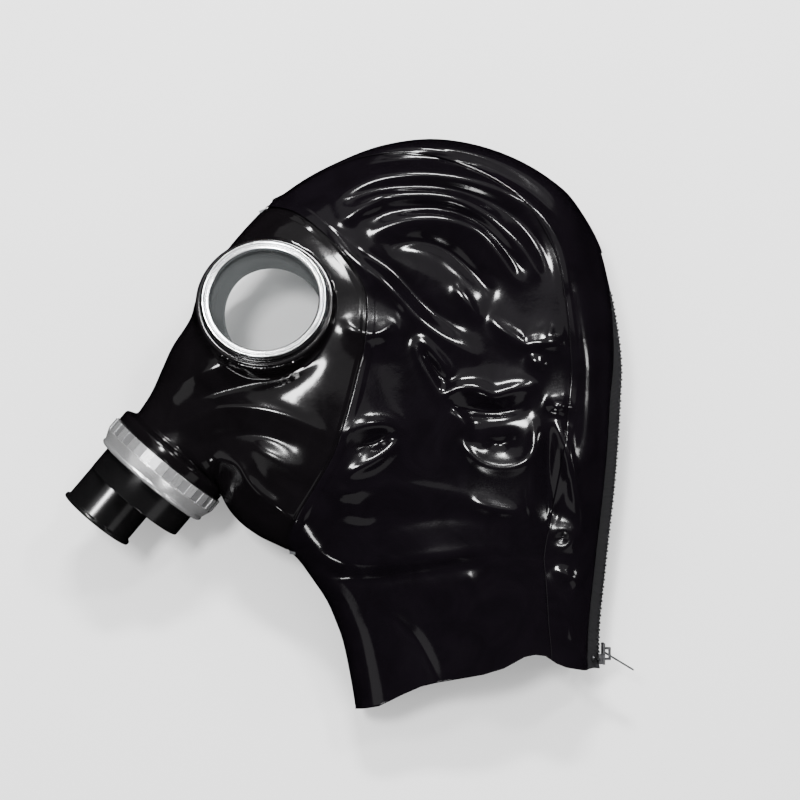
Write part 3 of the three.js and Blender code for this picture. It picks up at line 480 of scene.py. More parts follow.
def make_piece(name, points, faces, finish, body="hood"):
    """A smooth-shaded piece from points in millimetres, on its body, with its loose points left out."""
    faces = [list(face) for face in faces]
    used = np.zeros(len(points), bool)
    used[[k for face in faces for k in face]] = True
    renumbered = np.cumsum(used) - 1
    mesh = bpy.data.meshes.new(name)
    kept = (np.asarray(points)[used] * mm).tolist()
    mesh.from_pydata(kept, [], [[int(renumbered[k]) for k in face] for face in faces])
    mesh.materials.append(finish)
    mesh.shade_smooth()
    piece = add_object(name, mesh)
    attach(piece, body)
    return piece


def sharpen(piece, degrees=35):
    """Keeps the crisp edges of a smooth-shaded piece crisp."""
    piece.data.set_sharp_from_angle(angle=math.radians(degrees))


class Shade:
    """One value on its way through a material: the usual operators add its Math nodes."""

    def __init__(self, finish, socket):
        self.finish = finish
        self.socket = socket

    def maths(self, operation, *values):
        return self.finish.node("ShaderNodeMath", {"operation": operation}, dict(enumerate(values)))

    def __add__(self, other):
        return self.maths("ADD", self, other)

    def __mul__(self, other):
        return self.maths("MULTIPLY", self, other)

    def __radd__(self, other):
        return self.maths("ADD", other, self)

    def __rmul__(self, other):
        return self.maths("MULTIPLY", other, self)


class Finish:
    """A material of one of the hood's pieces."""

    def __init__(self, name):
        self.material = bpy.data.materials.new(name)
        self.material.use_nodes = True
        self.tree = self.material.node_tree
        self.tree.nodes.clear()
        self.place = self.node("ShaderNodeTexCoord", out="Object")

    def node(self, kind, settings=None, values=None, out=0):
        """Adds a node: its settings first, then the values or links of its sockets."""
        made = self.tree.nodes.new(kind)
        for key, value in (settings or {}).items():
            if key == "stops":
                ramp = made.color_ramp
                while len(ramp.elements) < len(value):
                    ramp.elements.new(1.0)
                for element, (position, shade) in zip(ramp.elements, value):
                    element.position = position
                    element.color = (*shade, 1) if isinstance(shade, tuple) else (shade, shade, shade, 1)
            else:
                setattr(made, key, value)
        for key, value in (values or {}).items():
            if isinstance(value, Shade):
                self.tree.links.new(value.socket, made.inputs[key])
            else:
                made.inputs[key].default_value = value
        return Shade(self, made.outputs[out])

    def noise(self, scale, detail=3.0, rough=0.5, warp=0.0):
        """Noise whose grains measure about one part in scale of a metre."""
        values = {"Vector": self.place, "Scale": scale, "Detail": detail, "Roughness": rough,
                  "Distortion": warp}
        return self.node("ShaderNodeTexNoise", {}, values, out="Fac")

    def patch(self, middle, radii):
        """One inside an oval and nought outside it, in millimetres from the hood's front lower corner."""
        centre = [(a + b) * mm for a, b in zip(middle, corner)] + [0]
        shrink = [1 / (r * mm) for r in radii] + [0]
        away = self.node("ShaderNodeVectorMath", {"operation": "SUBTRACT"}, {0: self.place, 1: centre})
        scaled = self.node("ShaderNodeVectorMath", {"operation": "MULTIPLY"}, {0: away, 1: shrink})
        length = self.node("ShaderNodeVectorMath", {"operation": "LENGTH"}, {0: scaled}, out="Value")
        return self.ramp(length, (0.35, 1.0), (1.0, 0.0))

    def ramp(self, value, *stops):
        return self.node("ShaderNodeValToRGB", {"stops": stops}, {"Fac": value}, out="Color")

    def bump(self, height, strength, distance):
        values = {"Height": height, "Strength": strength, "Distance": distance}
        return self.node("ShaderNodeBump", {}, values, out="Normal")

    def tint(self, share, first, second):
        shades = {0: share, 6: (*first, 1), 7: (*second, 1)}
        return self.node("ShaderNodeMix", {"data_type": "RGBA"}, shades, out=2)

    def surface(self, **sockets):
        """The shader itself, from its sockets' names with underscores for spaces."""
        values = {key.replace("_", " "): value for key, value in sockets.items()}
        shader = self.node("ShaderNodeBsdfPrincipled", {}, values, out="BSDF")
        self.node_output(shader)
        return self.material

    def node_output(self, shader):
        output = self.tree.nodes.new("ShaderNodeOutputMaterial")
        self.tree.links.new(shader.socket, output.inputs["Surface"])


# Where powder dulls the gloss: name, middle and radii, in the same millimetres as the folds
powdery_patches = [
    ("temple", (92, 221), (22, 13)),
    ("leaf", (88, 151), (11, 15)),
    ("cheek", (47, 143), (16, 10)),
    ("pocket", (165, 130), (22, 18)),
    ("pinch", (198, 182), (8, 15)),
    ("dent", (200, 99), (9, 14)),
]


def glossy_latex(name, black, purple, grain):
    """Polished black latex: a thin bright gloss over near black, with faint wipe marks and dust."""
    finish = Finish(name)
    wipes = finish.noise(38, 4, 0.6, warp=1.2)
    specks = finish.noise(2600, 2, 0.5)
    swell = finish.noise(120, 3, 0.55)
    dust = finish.ramp(specks, (0.66, 0.0), (0.74, 1.0)) * finish.ramp(wipes, (0.45, 0.0), (0.7, 1.0))
    colour = finish.tint(wipes, black, purple)
    powder = sum(finish.patch(middle, radii) for _, middle, radii in powdery_patches)
    powder = powder * finish.ramp(finish.noise(1500, 3, 0.6), (0.35, 0.3), (0.6, 1.0))
    rough = 0.09 + 0.05 * finish.ramp(wipes, (0.35, 0.0), (0.75, 1.0)) + 0.10 * dust + 0.17 * powder
    relief = finish.bump(swell * 0.7 + specks * 0.04, grain, 0.0006)
    return finish.surface(Base_Color=colour, Roughness=rough, Normal=relief, IOR=1.5, Specular_IOR_Level=0.3)


sheet_latex = glossy_latex("sheet_latex", (0.0015, 0.0012, 0.0016), (0.004, 0.003, 0.0045), 0.18)


def lap_rise(inside):
    """Extra height near the free edge of a lap seam, where the sheet lies on another one."""
    return sheet_wall + lap_step * (1 - ease(inside, *(lap_width * share for share in lap_fade)))


def side_sheet(upper, rows, columns):
    """Outer points of a side panel, as a grid from brow to hem and from front to centre strip."""
    along = np.linspace(fan_start, 1, rows)[:, None] * np.ones((1, columns))
    t = np.linspace(0, 1, columns)[None, :] * np.ones((rows, 1))
    at_neck = ease(along, seam_share * neck_turn, seam_share)
    share = mix(t, t * t * (2 - t), at_neck)
    width = hood_width(along)
    across = share * (side_share + tuck_width / width)
    plan = hood_plan(along, across)
    edge = across * width
    raised = lap_rise(edge) * (1 - at_neck) + sheet_wall * at_neck * ease(edge, 0, neck_edge)
    under = ease(edge, (side_share - tuck_slope / width) * width, side_share * width)
    raised = raised * (1 - under) + tuck_rise * under
    grid = lifted(plan, surface_height(plan[..., 0], plan[..., 1], upper))
    if not upper:
        grid, raised = grid[:, ::-1], raised[:, ::-1]
    return raise_sheet(grid, raised)


left_grid = side_sheet(True, 250, 150)
left_side = make_piece("left_side_sheet", *shell(left_grid, sheet_wall), sheet_latex)
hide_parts("side_panel_left")

# Right side panel: the same sheet on the side that the hood lies on, flattened by the table.
right_grid = side_sheet(False, 130, 80)
right_side = make_piece("right_side_sheet", *shell(right_grid, sheet_wall), sheet_latex)
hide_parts("side_panel_right")

# Centre strip: one long strip of sheet latex over forehead, crown and nape, lapped over both side
# panels and slit from the back of the head down for the zip.
zip_start = 0.315
tape_width = 9.3
widest_slit = 0.62
slit_taper = 0.16
closed_slit_share = 0.12
strip_rows = 360
strip_side_columns = 34
strip_edge_columns = 22


def strip_plan(along, turn):
    """Plan points across the centre strip, where turn runs from -1 over the back line at 0 to 1."""
    return hood_plan(along, 1 - (1 - side_share) * turn * turn)


def strip_point(along, turn, raised):
    plan = strip_plan(along, turn)
    upper = surface_height(plan[..., 0], plan[..., 1], True)
    lower = surface_height(plan[..., 0], plan[..., 1], False)
    height = np.where(turn < 0, upper, lower)
    return raise_sheet(lifted(plan, height), raised)


def slit_turn(along, width):
    return np.sqrt(width / ((1 - side_share) * hood_width(along)))


strip_along = np.linspace(fan_start, 1, strip_rows)
slit_width = tape_width * mix(closed_slit_share, 1, ease(strip_along, zip_start, zip_start + slit_taper))
slit = np.minimum(slit_turn(strip_along, slit_width), widest_slit)[:, None]
sides = np.linspace(0, 1, strip_side_columns + 1)[None, :]
middle = np.linspace(-1, 1, strip_edge_columns + 1)[None, 1:-1]
strip_turn = np.concatenate([-1 + (1 - slit) * sides, middle * slit, slit + (1 - slit) * sides], axis=1)
strip_grid_along = strip_along[:, None] * np.ones_like(strip_turn)
from_seam = (1 - strip_turn ** 2) * (1 - side_share) * hood_width(strip_grid_along)
strip_grid = strip_point(strip_grid_along, strip_turn, lap_rise(from_seam))
column = np.arange(strip_turn.shape[1] - 1)[None, :]
beside_slit = (column < strip_side_columns) | (column >= strip_side_columns + strip_edge_columns)
above_slit = (strip_along[:-1] < zip_start)[:, None]
strip_shell = shell(strip_grid, sheet_wall, present=beside_slit | above_slit)
centre_strip = make_piece("centre_strip", *strip_shell, sheet_latex)
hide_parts("centre_panel")

# Face: one thick moulding of black rubber, with nose, cheeks and chin, two round eye sockets that
# grip the lens rings, and a round collar for the nozzle.
face_wall = 2.4
face_rows = 118
face_upper_columns = 210
face_lower_columns = 110
flange_rows = 5
tucked_rows = 3
face_tuck = 0.4
flange_tuck = 0.7
throat_blend = 0.3
socket_foot_radius = 43.0
socket_rim_radius = 37.6
socket_foot_offset = 8.0
lens_offset = 33.7
socket_rim_height = 3.0
socket_shoulder = 2.2
socket_round = 0.5
socket_bore_radius = 33.0
eye_tilt = math.radians(14.5)
eye_ring_height = 7.3
socket_blend = 5.0
face_rubber = glossy_latex("face_rubber", (0.0015, 0.0013, 0.0015), (0.004, 0.0033, 0.004), 0.14)

ring_face_offset = lens_offset + eye_ring_height
eye_mid_height = 51.0
eye_origin = np.array([*place(eye_at), eye_mid_height]) - (0, ring_face_offset * math.sin(eye_tilt), 0)


def eye_axis(side):
    return np.array([0, math.sin(eye_tilt), side * math.cos(eye_tilt)])


def socket_height(x, y, base, side):
    """Height of the eye socket's cone over plan points, far below the face away from the eye."""
    top = lens_offset + socket_rim_height - socket_shoulder
    plane = eye_origin[2] + side * (top - (y - eye_origin[1]) * math.sin(eye_tilt)) / math.cos(eye_tilt)
    halfway = (plane + base) / 2
    away = np.stack([x - eye_origin[0], y - eye_origin[1], halfway - eye_origin[2]], axis=-1)
    along = away @ eye_axis(side)
    radius = np.linalg.norm(away - along[..., None] * eye_axis(side), axis=-1)
    slope = (top - socket_foot_offset) / (socket_foot_radius - socket_rim_radius)
    drop = np.maximum(radius - socket_rim_radius + socket_round, 0) * slope
    return plane - side * drop


def face_plan(out, up):
    """Plan points of the face, from the throat out to the seam and from the chin up to the brow."""
    chin_throat, nose_throat = throat_chin[:2], throat_nose[:2]
    out, up = out[..., None], up[..., None]
    throat_point = mix(chin_throat, nose_throat, up)
    seam_point = along_line(seam, 1 - up[..., 0])
    chin_point = along_line(chin, out[..., 0])
    nose_point = along_line(nose, out[..., 0])
    corners = mix(throat_point, mix(seam[-1], seam[0], up), out)
    return mix(throat_point, seam_point, out) + mix(chin_point, nose_point, up) - corners


angles = np.concatenate([np.linspace(0, np.pi, face_upper_columns, endpoint=False),
                         np.linspace(np.pi, 2 * np.pi, face_lower_columns, endpoint=False)])[None, :]
outs = np.linspace(0, 1, face_rows)[:, None]
out_grid, angle_grid = np.broadcast_arrays(outs, angles)
up_grid = (1 - np.cos(angle_grid)) / 2
plan = face_plan(out_grid, up_grid)
flange_steps = np.linspace(0, 1, flange_rows + 1)[1:, None] * lap_width
flange_along = seam_share * (1 - up_grid[:1]) * np.ones_like(flange_steps)
flange_plan = hood_plan(flange_along, flange_steps / np.maximum(hood_width(flange_along), lap_width * 1.5))
plan = np.concatenate([plan, flange_plan])
is_upper = np.sin(np.concatenate([angle_grid, np.repeat(angle_grid[:1], flange_rows, axis=0)])) > 0
height = np.zeros(is_upper.shape)
for side, mask in ((1, is_upper), (-1, ~is_upper)):
    x, y = plan[mask].T
    base = surface_height(x, y, side > 0)
    socket = socket_height(x, y, base, side)
    gap = side * (socket - base)
    share = np.clip(0.5 + 0.5 * gap / socket_blend, 0, 1)
    height[mask] = base + side * share * (gap + socket_blend * (1 - share))
circle = nozzle_height + throat_radius * np.sin(angle_grid)
height[:face_rows] = mix(circle, height[:face_rows], ease(out_grid, 0, throat_blend))
sunk = np.zeros(height.shape)
sunk[face_rows - tucked_rows:] = -face_tuck
sunk[face_rows:] = -flange_tuck
face_grid = raise_sheet(lifted(plan, height), sunk, ring=True)
face_points, face_faces = shell(face_grid, face_wall, ring=True)


def turned(profile, segments, origin, axis):
    """Points and faces of a closed profile of (radius, distance along the axis), turned about it."""
    profile = np.array(profile, float)
    axis = np.array(axis, float)
    first = np.cross(axis, (0, 0, 1.0))
    first /= np.linalg.norm(first)
    second = np.cross(axis, first)
    angle = np.linspace(0, 2 * np.pi, segments, endpoint=False)[:, None, None]
    spoke = np.cos(angle) * first + np.sin(angle) * second
    points = origin + profile[None, :, :1] * spoke + profile[None, :, 1:] * axis
    count = len(profile)
    index = np.arange(segments * count).reshape(segments, count)
    after = np.roll(index, -1, axis=0)
    faces = np.stack([index, np.roll(index, -1, axis=1), np.roll(after, -1, axis=1), after], -1)
    return points.reshape(-1, 3), faces.reshape(-1, 4)[:, ::-1]


def rounded(profile, radius, steps=3):
    """A closed profile with each corner cut round, by no more than a third of its sides."""
    made = []
    profile = np.array(profile, float)
    for before, at, after in zip(np.roll(profile, 1, 0), profile, np.roll(profile, -1, 0)):
        to_before, to_after = before - at, after - at
        cut = min(radius, np.linalg.norm(to_before) / 3, np.linalg.norm(to_after) / 3)
        start = at + to_before / np.linalg.norm(to_before) * cut
        end = at + to_after / np.linalg.norm(to_after) * cut
        for t in np.linspace(0, 1, steps + 1):
            made.append((1 - t) ** 2 * start + 2 * t * (1 - t) * at + t ** 2 * end)
    return made


def join(parts):
    """One list of points and one of faces from several."""
    points, faces, shift = [], [], 0
    for part_points, part_faces in parts:
        points.append(part_points)
        faces += (np.asarray(part_faces) + shift).tolist()
        shift += len(part_points)
    return np.vstack(points), faces


def without_bore(points, faces, radius):
    """Drops the faces that an eye's bore takes away."""
    faces = np.asarray(faces)
    keep = np.ones(len(faces), bool)
    for side in (1, -1):
        away = points - eye_origin
        along = away @ eye_axis(side)
        distance = np.linalg.norm(away - along[:, None] * eye_axis(side), axis=1)
        inside = (distance < radius) & (along > socket_foot_offset)
        keep &= ~inside[faces].all(1)
    return points, faces[keep]


eye_ring_radius = 34.5
socket_lip_radius = 30.0
collar_radius = 33.6
collar_bore_radius = 30.8
collar_length = 12.5
collar_bead_radius = 36.0
collar_bead_length = 7.0
clearance = 0.3
seat = lens_offset - clearance
rim = seat + socket_rim_height
socket_lip = rounded([
    (socket_lip_radius, seat - 12), (socket_lip_radius, seat), (eye_ring_radius + clearance, seat),
    (eye_ring_radius + clearance, rim), (socket_rim_radius, rim), (socket_rim_radius + 0.7, seat - 12),
], 0.8)
collar = rounded([
    (throat_radius - face_wall, -throat_setback - 3), (throat_radius + 0.2, -throat_setback - 3),
    (throat_radius + 0.6, -collar_bead_length - 1.5), (collar_bead_radius, -collar_bead_length + 0.5),
    (collar_bead_radius, -clearance), (collar_radius, -clearance), (collar_radius, collar_length),
    (collar_bore_radius, collar_length), (collar_bore_radius, -collar_bead_length / 2),
], 1.6, 5)
powder = Finish("powdered_lining")
powder_marks = powder.noise(60, 3, 0.5)
powdered_lining = powder.surface(
    Base_Color=powder.tint(powder_marks, (0.07, 0.075, 0.08), (0.12, 0.125, 0.13)),
    Roughness=0.5 + 0.2 * powder_marks)
face_parts = [without_bore(face_points, face_faces, socket_bore_radius)]
face_parts += [turned(socket_lip, 128, eye_origin, eye_axis(side)) for side in (1, -1)]
face_parts.append(turned(collar, 128, nozzle_origin, nozzle_axis))
all_points, all_faces = join(face_parts)
mask_face = make_piece("moulded_face", all_points, all_faces, face_rubber)
mask_face.data.materials.append(powdered_lining)
lined = [min(face) >= face_grid.size // 3 and max(face) < len(face_points) for face in all_faces]
mask_face.data.polygons.foreach_set("material_index", np.array(lined, dtype=np.int32))
sharpen(mask_face, 50)
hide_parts("face_piece")

# Eye rings: each lens is held by a ridged ring of turned and polished aluminium.
eye_opening_radius = 29.6
lens_radius = 31.7
lens_thickness = 2.5
ring_finish = Finish("turned_aluminium")
scratches = ring_finish.noise(900, 3, 0.6)
stains = ring_finish.noise(60, 3, 0.5)
turned_aluminium = ring_finish.surface(
    Base_Color=ring_finish.tint(stains, (0.72, 0.73, 0.74), (0.88, 0.88, 0.89)),
    Roughness=0.12 + 0.16 * ring_finish.ramp(scratches, (0.3, 0.0), (0.8, 1.0)), Metallic=1.0,
    Normal=ring_finish.bump(scratches, 0.15, 0.0002))
ring_profile = rounded([
    (lens_radius + clearance, lens_offset), (eye_ring_radius, lens_offset),
    (eye_ring_radius, ring_face_offset - 1.4), (eye_ring_radius - 0.9, ring_face_offset),
    (eye_ring_radius - 1.9, ring_face_offset - 0.2), (eye_ring_radius - 2.5, ring_face_offset - 1.5),
    (eye_ring_radius - 3.1, ring_face_offset - 0.6), (eye_opening_radius + 0.3, ring_face_offset - 0.9),
    (eye_opening_radius, ring_face_offset - 1.8),
    (eye_opening_radius, lens_offset + lens_thickness + clearance),
    (lens_radius + clearance, lens_offset + lens_thickness + clearance),
], 0.45)
for side, name in ((1, "left"), (-1, "right")):
    ring_shape = turned(ring_profile, 160, eye_origin, eye_axis(side))
    ring = make_piece(f"lens_ring_{name}", *ring_shape, turned_aluminium)
    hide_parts(f"eye_ring_{name}")

# Lenses: round flat discs of clear glass with a small bevel.
lens_finish = Finish("clear_glass")
smears = lens_finish.noise(45, 3, 0.5, warp=1.0)
clear_glass = lens_finish.surface(
    Base_Color=(0.60, 0.64, 0.65, 1), Roughness=0.02 + 0.03 * smears, Alpha=0.02 + 0.02 * smears, IOR=1.5)
lens_profile = [
    (0.01, lens_offset), (lens_radius - 0.5, lens_offset), (lens_radius, lens_offset + 0.5),
    (lens_radius, lens_offset + lens_thickness - 0.5), (lens_radius - 0.5, lens_offset + lens_thickness),
    (0.01, lens_offset + lens_thickness),
]
for side, name in ((1, "left"), (-1, "right")):
    lens = make_piece(f"glass_{name}", *turned(lens_profile, 96, eye_origin, eye_axis(side)), clear_glass)
    sharpen(lens)
    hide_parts(f"lens_{name}")

# Nozzle: a knurled and polished clamp ring of aluminium, screwed over the rubber collar.
clamp_ring_radius = 37.5
clamp_ring_length = 15.7
knurl_length = 7.0
clamp_front_radius = 33.0
clamp_profile = rounded([
    (collar_radius + clearance, 0), (clamp_ring_radius - 0.6, 0), (clamp_ring_radius - 0.6, knurl_length),
    (clamp_ring_radius - 0.2, knurl_length + 0.4), (clamp_ring_radius - 0.5, knurl_length + 1.1),
    (clamp_front_radius + 2.0, clamp_ring_length - 2.6), (clamp_front_radius + 2.5, clamp_ring_length - 1.9),
    (clamp_front_radius + 2.3, clamp_ring_length - 0.8), (clamp_front_radius + 1.3, clamp_ring_length),
    (collar_bore_radius + 0.1, clamp_ring_length), (collar_bore_radius + 0.1, clamp_ring_length - 1.6),
    (collar_radius + clearance, clamp_ring_length - 1.6),
], 0.4)


def grained_metal(name, fineness, shades, metallic, rough, relief):
    """Metal whose fine grain shows in its colour, its gloss and its relief."""
    finish = Finish(name)
    grain = finish.noise(fineness, 3, 0.6)
    return finish.surface(
        Base_Color=finish.tint(grain, *shades), Metallic=metallic,
        Roughness=rough[0] + rough[1] * grain, Normal=finish.bump(grain, *relief))


bright_aluminium = grained_metal(
    "bright_aluminium", 700, ((0.74, 0.74, 0.75), (0.90, 0.90, 0.91)), 0.86, (0.18, 0.12), (0.2, 0.0002))
clamp_shape = turned(clamp_profile, 160, nozzle_origin, nozzle_axis)
clamp = make_piece("clamp_ring_turned", *clamp_shape, bright_aluminium)
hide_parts("clamp_ring")


def repeater(name, shape):
    """A node group that sets one small shape on each point, turned to two stored directions."""
    group = bpy.data.node_groups.new(name, "GeometryNodeTree")
    inputs = (("Points", "Geometry"), ("Size", "Vector"), ("Stagger", "Float"), ("Finish", "Material"))
    for label, kind in inputs:
        group.interface.new_socket(label, in_out="INPUT", socket_type=f"NodeSocket{kind}")
    group.interface.new_socket("Pieces", in_out="OUTPUT", socket_type="NodeSocketGeometry")

    def add(kind, values=None, **options):
        made = group.nodes.new(kind)
        for key, value in options.items():
            setattr(made, key, value)
        for key, value in (values or {}).items():
            if isinstance(value, bpy.types.NodeSocket):
                group.links.new(value, made.inputs[key])
            else:
                made.inputs[key].default_value = value
        return made

    given = add("NodeGroupInput").outputs
    along, out = (
        add("GeometryNodeInputNamedAttribute", {"Name": key}, data_type="FLOAT_VECTOR").outputs["Attribute"]
        for key in ("along", "outward"))
    turned_along = add("FunctionNodeAlignRotationToVector", {"Vector": along}, axis="X")
    turned_out = add("FunctionNodeAlignRotationToVector",
                     {"Rotation": turned_along.outputs[0], "Vector": out}, axis="Z", pivot_axis="X")
    parity = add("ShaderNodeMath", {0: add("GeometryNodeInputIndex").outputs[0], 1: 2.0}, operation="MODULO")
    sign = add("ShaderNodeMath", {0: parity.outputs[0], 1: 2.0, 2: -1.0}, operation="MULTIPLY_ADD")
    amount = add("ShaderNodeMath", {0: sign.outputs[0], 1: given["Stagger"]}, operation="MULTIPLY")
    aside = add("ShaderNodeVectorMath", {0: along, 1: out}, operation="CROSS_PRODUCT")
    step = add("ShaderNodeVectorMath", {0: aside.outputs[0], "Scale": amount.outputs[0]}, operation="SCALE")
    moved = add("GeometryNodeSetPosition", {"Geometry": given["Points"], "Offset": step.outputs[0]})
    seed = add(shape)
    sized = add("GeometryNodeTransform", {"Geometry": seed.outputs[0], "Scale": given["Size"]})
    placed = add("GeometryNodeInstanceOnPoints", {
        "Points": moved.outputs[0], "Instance": sized.outputs[0], "Rotation": turned_out.outputs[0]})
    real = add("GeometryNodeRealizeInstances", {"Geometry": placed.outputs[0]})
    finished = add("GeometryNodeSetMaterial", {"Geometry": real.outputs[0], "Material": given["Finish"]})
    add("NodeGroupOutput", {"Pieces": finished.outputs[0]})
    return group


def repeated(name, group, points, along, out, finish, size, stagger=0.0, body="hood"):
    """A piece of small shapes on points, each lying along one direction and facing another."""
    mesh = bpy.data.meshes.new(f"{name}_points")
    mesh.from_pydata((np.asarray(points) * mm).tolist(), [], [])
    for key, values in (("along", along), ("outward", out)):
        layer = mesh.attributes.new(key, "FLOAT_VECTOR", "POINT")
        layer.data.foreach_set("vector", np.broadcast_to(values, (len(mesh.vertices), 3)).ravel())
    holder = add_object(f"{name}_points", mesh)
    modifier = holder.modifiers.new("repeat", "NODES")
    modifier.node_group = group
    sockets = {item.name: item.identifier for item in group.interface.items_tree if item.in_out == "INPUT"}
    modifier[sockets["Size"]] = [value * mm for value in size]
    modifier[sockets["Stagger"]] = stagger * mm
    modifier[sockets["Finish"]] = finish
    bpy.context.view_layer.update()
    evaluated = holder.evaluated_get(bpy.context.evaluated_depsgraph_get())
    piece = add_object(name, bpy.data.meshes.new_from_object(evaluated))
    bpy.data.objects.remove(holder)
    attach(piece, body)
    return piece


block_repeater = repeater("blocks_on_points", "GeometryNodeMeshCube")
knurl_count = 22
knurl_sink = 0.9
knurl_band = np.pi * clamp_ring_radius / knurl_count * 0.96
# The grooves' aluminium is rougher than the lands' and painted much darker: painted shade in the recesses
# between the raised lands.
dull_shade_painted_aluminium = grained_metal(
    "dull_shade_painted_aluminium", 700, ((0.34, 0.34, 0.35), (0.46, 0.46, 0.47)), 0.85, (0.32, 0.15), (0.3, 0.0003))
knurl_rows = (("knurl_lands", bright_aluminium, 1.6, 0.0), ("knurl_grooves", dull_shade_painted_aluminium, 0.9, 0.5))
for name, finish, height, start in knurl_rows:
    turn = (np.arange(knurl_count) + start)[:, None] * 2 * np.pi / knurl_count
    spokes = np.cos(turn) * nozzle_side + np.sin(turn) * np.array([0, 0, 1.0])
    spots = nozzle_origin + nozzle_axis * knurl_length * 0.5 + spokes * (clamp_ring_radius - knurl_sink)
    knurl = repeated(name, block_repeater, spots, np.cross(spokes, nozzle_axis), spokes, finish,
                     (knurl_band, knurl_length * 0.94, height))

# Valve body and intake tube: glossy black plastic, turned with small round edges.
valve_wall = 3.0
valve_front = clamp_ring_length + 14.5
valve_radius = collar_bore_radius - clearance
stub_radius = 21.0
stub_bore_radius = 18.6
valve_hole_radius = stub_bore_radius * 0.2
stub_end = valve_front + 21.9
stub_flange_radius = 22.5
stub_origin = nozzle_origin + (valve_radius - stub_radius) * nozzle_side
plastic = Finish("black_plastic")
flow = plastic.noise(70, 3, 0.5)
black_plastic = plastic.surface(
    Base_Color=plastic.tint(flow, (0.002, 0.002, 0.0022), (0.005, 0.0048, 0.005)),
    Roughness=0.12 + 0.12 * flow, Normal=plastic.bump(plastic.noise(900, 2, 0.5), 0.05, 0.0002))
valve_profile = rounded([
    (valve_radius - valve_wall, clearance), (valve_radius, clearance), (valve_radius, valve_front),
    (valve_hole_radius, valve_front), (valve_hole_radius, valve_front - valve_wall),
    (valve_radius - valve_wall, valve_front - valve_wall),
], 0.8)
valve = make_piece("valve_housing", *turned(valve_profile, 128, nozzle_origin, nozzle_axis), black_plastic)
sharpen(valve)
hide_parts("valve_body")
stub_profile = rounded([
    (stub_bore_radius, valve_front), (stub_radius, valve_front), (stub_radius, stub_end - 2.5),
    (stub_flange_radius, stub_end - 2.0), (stub_flange_radius, stub_end), (stub_bore_radius, stub_end),
], 0.5)
stub = make_piece("intake_tube", *turned(stub_profile, 128, stub_origin, nozzle_axis), black_plastic)
sharpen(stub)
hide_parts("intake_stub")

# Zip tapes: dull woven tapes that are glued behind the edges of the slit.
tape = Finish("woven_tape")
ribs = tape.node("ShaderNodeTexWave", {"wave_type": "BANDS", "bands_direction": "Y"},
                 {"Vector": tape.place, "Scale": 420.0, "Distortion": 0.4, "Detail": 1.0}, out="Fac")
woven_tape = tape.surface(
    Base_Color=tape.tint(ribs, (0.004, 0.004, 0.005), (0.014, 0.013, 0.016)), Roughness=0.7 + 0.15 * ribs,
    Normal=tape.bump(ribs, 0.5, 0.0004))
tape_rows, tape_columns = 260, 15
tape_wall = 0.7
tape_depth = 0.5
tape_tuck = 2.5
turn_at_teeth = 0.06
tape_along = np.linspace(zip_start + 0.002, 1, tape_rows)[:, None] * np.ones((1, tape_columns))
turn_at_glue = slit_turn(tape_along, tape_width + tape_tuck)
across = np.linspace(0, 1, tape_columns)[None, :]
for sign, name in ((-1, "left"), (1, "right")):
    turn = sign * mix(turn_at_glue, turn_at_teeth, across if sign < 0 else 1 - across)
    tape_grid = strip_point(tape_along, turn, -tape_depth)
    zip_tape = make_piece(f"zip_tape_woven_{name}", *shell(tape_grid, tape_wall), woven_tape)
    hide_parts(f"zip_tape_{name}")

# Zip metal: slider, pull and end stop keep the machined shapes of the solids, and the teeth are a
# row of small dark blocks that stand in turn to either side of the zip's line.
zip_metal = grained_metal(
    "dark_metal", 400, ((0.05, 0.05, 0.055), (0.30, 0.30, 0.31)), 1.0, (0.25, 0.2), (0.1, 0.0002))
for name in ("zip_slider", "zip_pull", "zip_end_stop"):
    node = frame["nodes"][name]
    node.data.materials.clear()
    node.data.materials.append(zip_metal)
tooth_pitch = 2.0
tooth_size = (1.1, 3.6, 1.8)
tooth_stagger = 0.7
tooth_rise = -1.2
tooth_metal = Finish("tooth_metal")
tooth_wear = tooth_metal.noise(500, 3, 0.6)
worn_share = tooth_metal.ramp(tooth_wear, (0.5, 0.0), (0.7, 1.0))
dark_teeth = tooth_metal.surface(
    Base_Color=tooth_metal.tint(worn_share, (0.008, 0.008, 0.009), (0.05, 0.05, 0.055)),
    Metallic=0.7, Roughness=0.35 + 0.2 * tooth_wear)
first_tooth, last_tooth, zip_rows = zip_start + 0.04, 0.985, 500
zip_along = np.linspace(first_tooth, last_tooth, zip_rows)[:, None] * np.ones((1, 3))
zip_grid = strip_point(zip_along, np.array([[-0.03, 0, 0.03]]) * np.ones((zip_rows, 1)), 0.0)
zip_line = zip_grid[:, 1]
tooth_count = int(line_length(zip_line) / tooth_pitch)
tooth_line = spread_evenly(zip_line, zip_line, tooth_count)
tooth_out = spread_evenly(zip_line, outward(zip_grid)[:, 1], tooth_count)
teeth = repeated("zip_teeth_row", block_repeater, tooth_line + tooth_out * tooth_rise,
                 np.gradient(tooth_line, axis=0), tooth_out, dark_teeth, tooth_size, tooth_stagger)
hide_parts("zip_teeth")

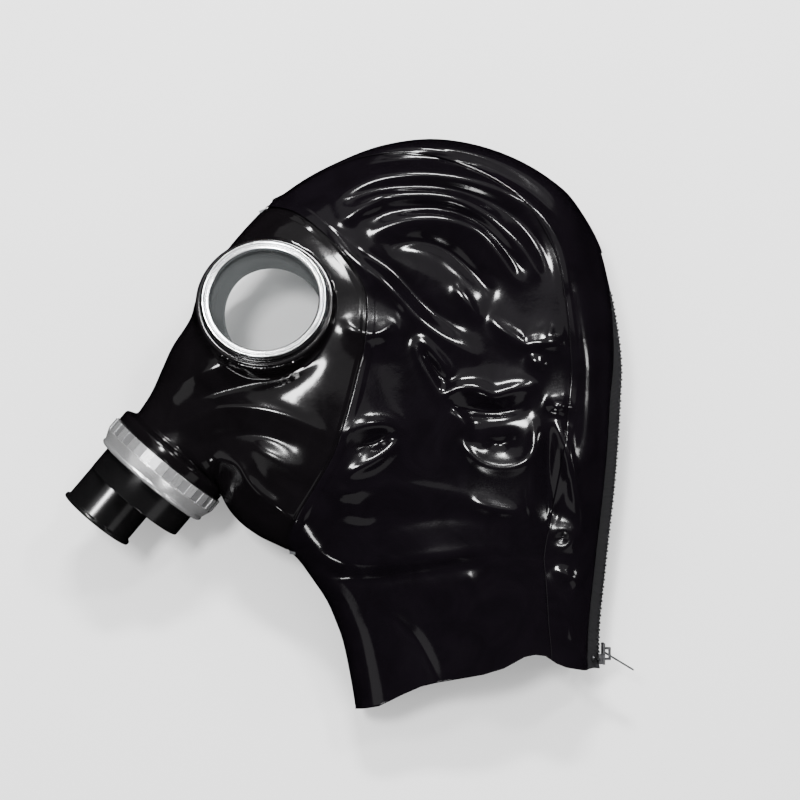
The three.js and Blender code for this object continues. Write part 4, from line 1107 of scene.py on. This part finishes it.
# Table: a plain white top that the hood lies on.
table_size = 60.0
table_finish = Finish("white_table")
grain = table_finish.noise(12, 2, 0.5)
white_table = table_finish.surface(
    Base_Color=table_finish.tint(grain, (0.86, 0.86, 0.86), (0.88, 0.88, 0.88)), Roughness=0.6)
bpy.ops.mesh.primitive_plane_add(size=table_size)
table = bpy.context.object
table.name = "table_top"
table.data.materials.append(white_table)
table.visible_glossy = False

# Light: compact bright lamps and a wide dim ceiling in an even pale room. As round a photographer's
# black flags, only the lamps themselves are mirrored in the latex, as thin highlights on black.
room_shade = 0.9
world = bpy.data.worlds.new("room")
bpy.context.scene.world = world
world.use_nodes = True
world.node_tree.nodes["Background"].inputs["Color"].default_value = (*[room_shade] * 3, 1)
world.cycles_visibility.glossy = False
middle_of_hood = (0.0, 0.0, 0.05)


def lamp(name, tilt, heading, away, size, power):
    """A rectangular lamp, tilted from straight overhead towards a heading and aimed at the hood."""
    tilt, heading = math.radians(tilt), math.radians(heading)
    spot = Vector((math.sin(tilt) * math.cos(heading), math.sin(tilt) * math.sin(heading), math.cos(tilt)))
    light = bpy.data.lights.new(name, "AREA")
    light.shape = "RECTANGLE"
    light.size, light.size_y = size
    light.energy = power
    holder = add_object(name, light)
    holder.location = Vector(middle_of_hood) + away * spot
    holder.rotation_euler = (-spot).to_track_quat("-Z", "Y").to_euler()


lamp("crown_lamp", 42, 88, 1.6, (0.36, 0.12), 28)
lamp("corner_lamp", 38, 48, 1.6, (0.15, 0.15), 9)
lamp("overhead_lamp", 16, 135, 1.6, (0.28, 0.22), 24)
lamp("back_lamp", 62, 5, 1.6, (0.12, 0.3), 3)
lamp("hem_lamp", 62, 250, 1.6, (0.3, 0.12), 4)
lamp("ceiling", 25, 90, 1.7, (1.9, 1.3), 5)
lamp("crown_panel", 60, 80, 1.6, (1.5, 0.6), 2)
lamp("face_panel", 58, 205, 1.6, (1.2, 0.6), 2)
lamp("hem_panel", 60, 300, 1.6, (1.2, 0.6), 1.6)
